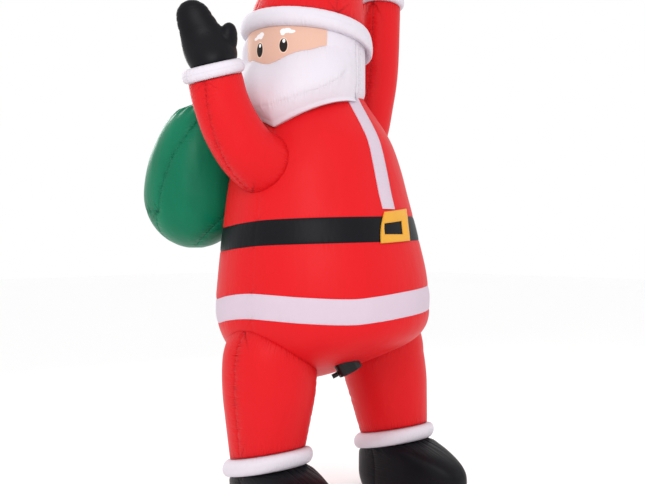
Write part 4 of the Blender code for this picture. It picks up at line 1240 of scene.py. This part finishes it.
# The face's print, in metres across from the face's middle and up from the ground.
EYES = ((-0.0766, 1.7988, 0.0185, 0.0280), (0.0362, 1.8024, 0.0170, 0.0266))
EYE_LIGHT = (0.002, 0.0165, 0.0060, 0.0075)
EYE_RIM = 1.14
BROW_WHITE, RIM_PEACH = (0.90, 0.86, 0.88), (0.92, 0.66, 0.52)
EYE_BLACK, LIGHT_WHITE = (0.020, 0.016, 0.016), (0.95, 0.95, 0.95)
BROWS = (
    (-0.069, 1.8560, 0.0150, 0.0100), (-0.084, 1.8520, 0.0160, 0.0095), (-0.100, 1.8465, 0.0140, 0.0065),
    (-0.071, 1.8470, 0.0100, 0.0075),
    (0.035, 1.8550, 0.0140, 0.0110), (0.050, 1.8570, 0.0180, 0.0095), (0.068, 1.8520, 0.0150, 0.0065),
    (0.033, 1.8470, 0.0090, 0.0070),
)


def print_face(piece):
    """Writes each point's place on the flat print as a UV map, and prints eyes and brows in the cloth."""
    layer = piece.data.uv_layers.new(name="print")
    heading = math.radians(-90.0 - HEAD_TURN)
    for loop in piece.data.loops:
        x, y, z = piece.data.vertices[loop.vertex_index].co
        angle = wrapped(math.atan2(y - HEAD_Y, x - HEAD_X) - heading)
        layer.data[loop.index].uv = (angle * HEAD_RADIUS, z)
    tree = PEACH.node_tree
    shader = tree.nodes["Principled BSDF"]
    uv = tree.nodes.new("ShaderNodeUVMap")
    uv.uv_map = "print"

    def oval(*sizes):
        node = tree.nodes.new("ShaderNodeGroup")
        node.node_tree = OVAL
        for label, value in zip(("Place", "Across", "Up", "Wide", "High"), (uv.outputs["UV"], *sizes)):
            feed(tree, value, node.inputs[label])
        return node.outputs["Mask"]

    def over(base, colour, mask):
        mix = tree.nodes.new("ShaderNodeMix")
        mix.data_type = "RGBA"
        for label, value in (("Factor", mask), ("A", base), ("B", (*colour, 1))):
            feed(tree, value, mix.inputs[label])
        return mix.outputs["Result"]

    brows = oval(*BROWS[0])
    for spot in BROWS[1:]:
        brows = maths(tree, "MAXIMUM", brows, oval(*spot))
    base = over(shader.inputs["Base Color"].links[0].from_socket, BROW_WHITE, brows)
    for across, up, wide, high in EYES:
        base = over(base, RIM_PEACH, oval(across, up, wide * EYE_RIM, high * EYE_RIM * 0.98))
        base = over(base, EYE_BLACK, oval(across, up, wide, high))
        base = over(base, LIGHT_WHITE, oval(across + EYE_LIGHT[0], up + EYE_LIGHT[1], *EYE_LIGHT[2:]))
    feed(tree, base, shader.inputs["Base Color"])


def plastic_material():
    made, tree, shader = new_material(
        "black_moulding", Base_Color=(0.006, 0.006, 0.007, 1), Specular_IOR_Level=0.25
    )
    place = add_node(tree, "TexCoord").outputs["Object"]
    grain = add_node(tree, "TexNoise", Vector=place, Scale=700.0).outputs["Fac"]
    feed(tree, maths(tree, "ADD", times(tree, grain, 0.15), 0.24), shader.inputs["Roughness"])
    feed(tree, add_bump(tree, grain, 0.05, 0.0004).outputs["Normal"], shader.inputs["Normal"])
    return made


def settle(piece, material, slot, *nodes):
    """Finishes a piece: moves it to the frame, shades it, dresses it, hides the parts it stands for and hangs
    it on the root body.
    """
    if nodes and not nodes[0].startswith("blower"):
        piece.data.transform(Matrix.Translation(ORIGIN))
    only(piece)
    bpy.ops.object.shade_smooth_by_angle(angle=math.radians(SMOOTH_ANGLE))
    piece.data.materials.clear()
    piece.data.materials.append(material)
    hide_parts(*nodes)
    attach(piece, "root")


def make_figure():
    form = trunk_form()
    hem_low, hem_high = hem_seam(HEM_BOTTOM), hem_seam(HEM_BOTTOM + HEM_WIDTH)
    belt_low, belt_high = belt_seam(BELT_BOTTOM), belt_seam(BELT_BOTTOM + BELT_WIDTH)
    crotch = SEAT_HEIGHT - SEAT_DEPTH
    seat = trunk_band("seat_panel", level(crotch + 0.002), hem_low, 90, None, "hem_low", collar=True)
    hem = trunk_band("hem_strip", hem_low, hem_high, 22, "hem_low", "hem_high", 0.0015)
    skirt = trunk_band("skirt_panel", hem_high, belt_low, 36, "hem_high", "belt_low")
    belt = trunk_band("belt_strip", belt_low, belt_high, 22, "belt_low", "belt_high", 0.0010)
    jacket = trunk_band("jacket_panel", belt_high, level(NECK_HEIGHT), 80, "belt_high", "neck")
    settle(seat, RED, "red_cloth", "trouser_seat")
    # The hem strip and the placket get the white cloth darkened by painted shade.
    settle(hem, SHADED_WHITE, "white_cloth", "hem_band")
    settle(skirt, RED, "red_cloth", "jacket_skirt")
    settle(belt, BLACK, "black_cloth", "belt")
    settle(jacket, RED, "red_cloth", "jacket")
    settle(make_placket(), SHADED_WHITE, "white_cloth", "placket")
    settle(make_buckle(), GOLD, "gold_cloth", "belt_buckle")

    for side, hip, foot, seed in (
        ("right", RIGHT_LEG_HIP, RIGHT_LEG_FOOT, 31), ("left", LEFT_LEG_HIP, LEFT_LEG_FOOT, 41)
    ):
        settle(make_leg(f"trouser_{side}", hip, foot, form, seed), RED, "red_cloth", f"leg_{side}")
        cuff = puffed_band(
            f"trouser_cuff_{side}", (*foot, CUFF_MIDDLE_HEIGHT), (0, -1, 0), (1, 0, 0), (0, 0, 1),
            (BOOT_SHAFT_RADIUS, LEG_ANKLE_RADIUS), CUFF_WIDTH, CUFF_PUFF, seed + 5, rise=CUFF_SLOPE,
        )
        settle(cuff, WHITE, "white_cloth", f"leg_cuff_{side}")
        settle(make_boot(f"boot_cloth_{side}", foot, seed + 7), BLACK, "black_cloth", f"boot_{side}")

    for side, stations, thumb_side, seed, upright in (
        ("right", RIGHT_ARM, 1, 51, ((-195.0, -143.0), (-15.0, 37.0))),
        ("left", LEFT_ARM, -1, 111, ((20.0, 20.0), (200.0, 200.0))),
    ):
        arm, (wrist, s, c, axis), radius = make_arm(f"sleeve_{side}", stations, form, seed, upright)
        settle(arm, RED, "red_cloth", f"arm_{side}")
        middle = wrist + axis * (ARM_CUFF_WIDTH / 2 + GAP)
        cuff = puffed_band(
            f"sleeve_cuff_{side}", middle, s, c, axis, (radius, radius * 0.95), ARM_CUFF_WIDTH,
            ARM_CUFF_PUFF, seed + 8,
        )
        settle(cuff, WHITE, "white_cloth", f"arm_cuff_{side}")
        wide = Matrix.Rotation(math.radians(-VIEW_TURN), 3, "Z") @ Vector((1, 0, 0))
        wide = (wide - axis * wide.dot(axis)).normalized()
        base = wrist + axis * (ARM_CUFF_WIDTH + GAP)
        mitten = make_mitten(
            f"mitten_cloth_{side}", (base, wide, axis.cross(wide), axis), thumb_side, seed + 10
        )
        settle(mitten, BLACK, "black_cloth", f"mitten_{side}")

    settle(make_head(form), WHITE, "white_cloth", "head")
    face = make_face()
    print_face(face)
    settle(face, PEACH, "peach_cloth", "face")
    settle(make_beard(form), WHITE, "white_cloth", "beard")
    brim, cap, pompom = make_hat()
    settle(brim, WHITE, "white_cloth", "hat_brim")
    settle(cap, RED, "red_cloth", "hat")
    settle(pompom, WHITE, "white_cloth", "hat_pompom")
    settle(make_sack(form), GREEN, "green_cloth", "sack")
    bpy.data.objects.remove(form, do_unlink=True)

    moulding = plastic_material()
    settle(make_grille(), moulding, "black_plastic", "blower_grille")
    for node in ("blower_housing", "lead_gland"):
        frame["nodes"][node].data.materials.clear()
        frame["nodes"][node].data.materials.append(moulding)


def add_camera():
    turn = math.radians(VIEW_TURN)
    way = Vector((math.sin(turn), math.cos(turn), 0))
    aside = Vector((math.cos(turn), -math.sin(turn), 0))
    camera = bpy.data.objects.new("camera", bpy.data.cameras.new("camera"))
    bpy.context.scene.collection.objects.link(camera)
    camera.data.sensor_width = SENSOR_WIDTH
    camera.data.lens = FOCAL_PIXELS / PHOTO_WIDTH * SENSOR_WIDTH
    place = ORIGIN - way * VIEW_DISTANCE + aside * VIEW_ASIDE + Vector((0, 0, VIEW_HEIGHT))
    stand = Matrix((aside, Vector((0, 0, 1)), -way)).transposed().to_4x4()
    camera.matrix_world = Matrix.Translation(place) @ stand
    bpy.context.scene.camera = camera
    return way, aside


def add_light(name, place, target, size, power):
    light = bpy.data.lights.new(name, "AREA")
    light.energy = power
    light.size = size
    obj = bpy.data.objects.new(name, light)
    bpy.context.scene.collection.objects.link(obj)
    obj.matrix_world = Matrix.Translation(place) @ (
        (Vector(target) - Vector(place)).to_track_quat("-Z", "Y").to_matrix().to_4x4()
    )


def make_studio():
    way, aside = add_camera()
    chest = ORIGIN + Vector((0, 0, 1.2))
    for name, behind, right, above, size, power in LIGHTS:
        place = chest + way * behind + aside * right + Vector((0, 0, above))
        add_light(name, place, chest, size, power)
    world = bpy.data.worlds.new("studio")
    world.use_nodes = True
    world.node_tree.nodes["Background"].inputs["Color"].default_value = (1, 1, 1, 1)
    world.node_tree.nodes["Background"].inputs["Strength"].default_value = 1.0
    bpy.context.scene.world = world
    bpy.context.scene.view_settings.view_transform = "Standard"

    nothing_selected()
    bpy.ops.mesh.primitive_plane_add(size=40)
    floor = bpy.context.active_object
    floor.name = "studio_floor"
    paper = new_material("studio_paper", Base_Color=(0.98, 0.98, 0.98, 1), Roughness=0.9)[0]
    floor.data.materials.append(paper)


make_figure()
make_studio()
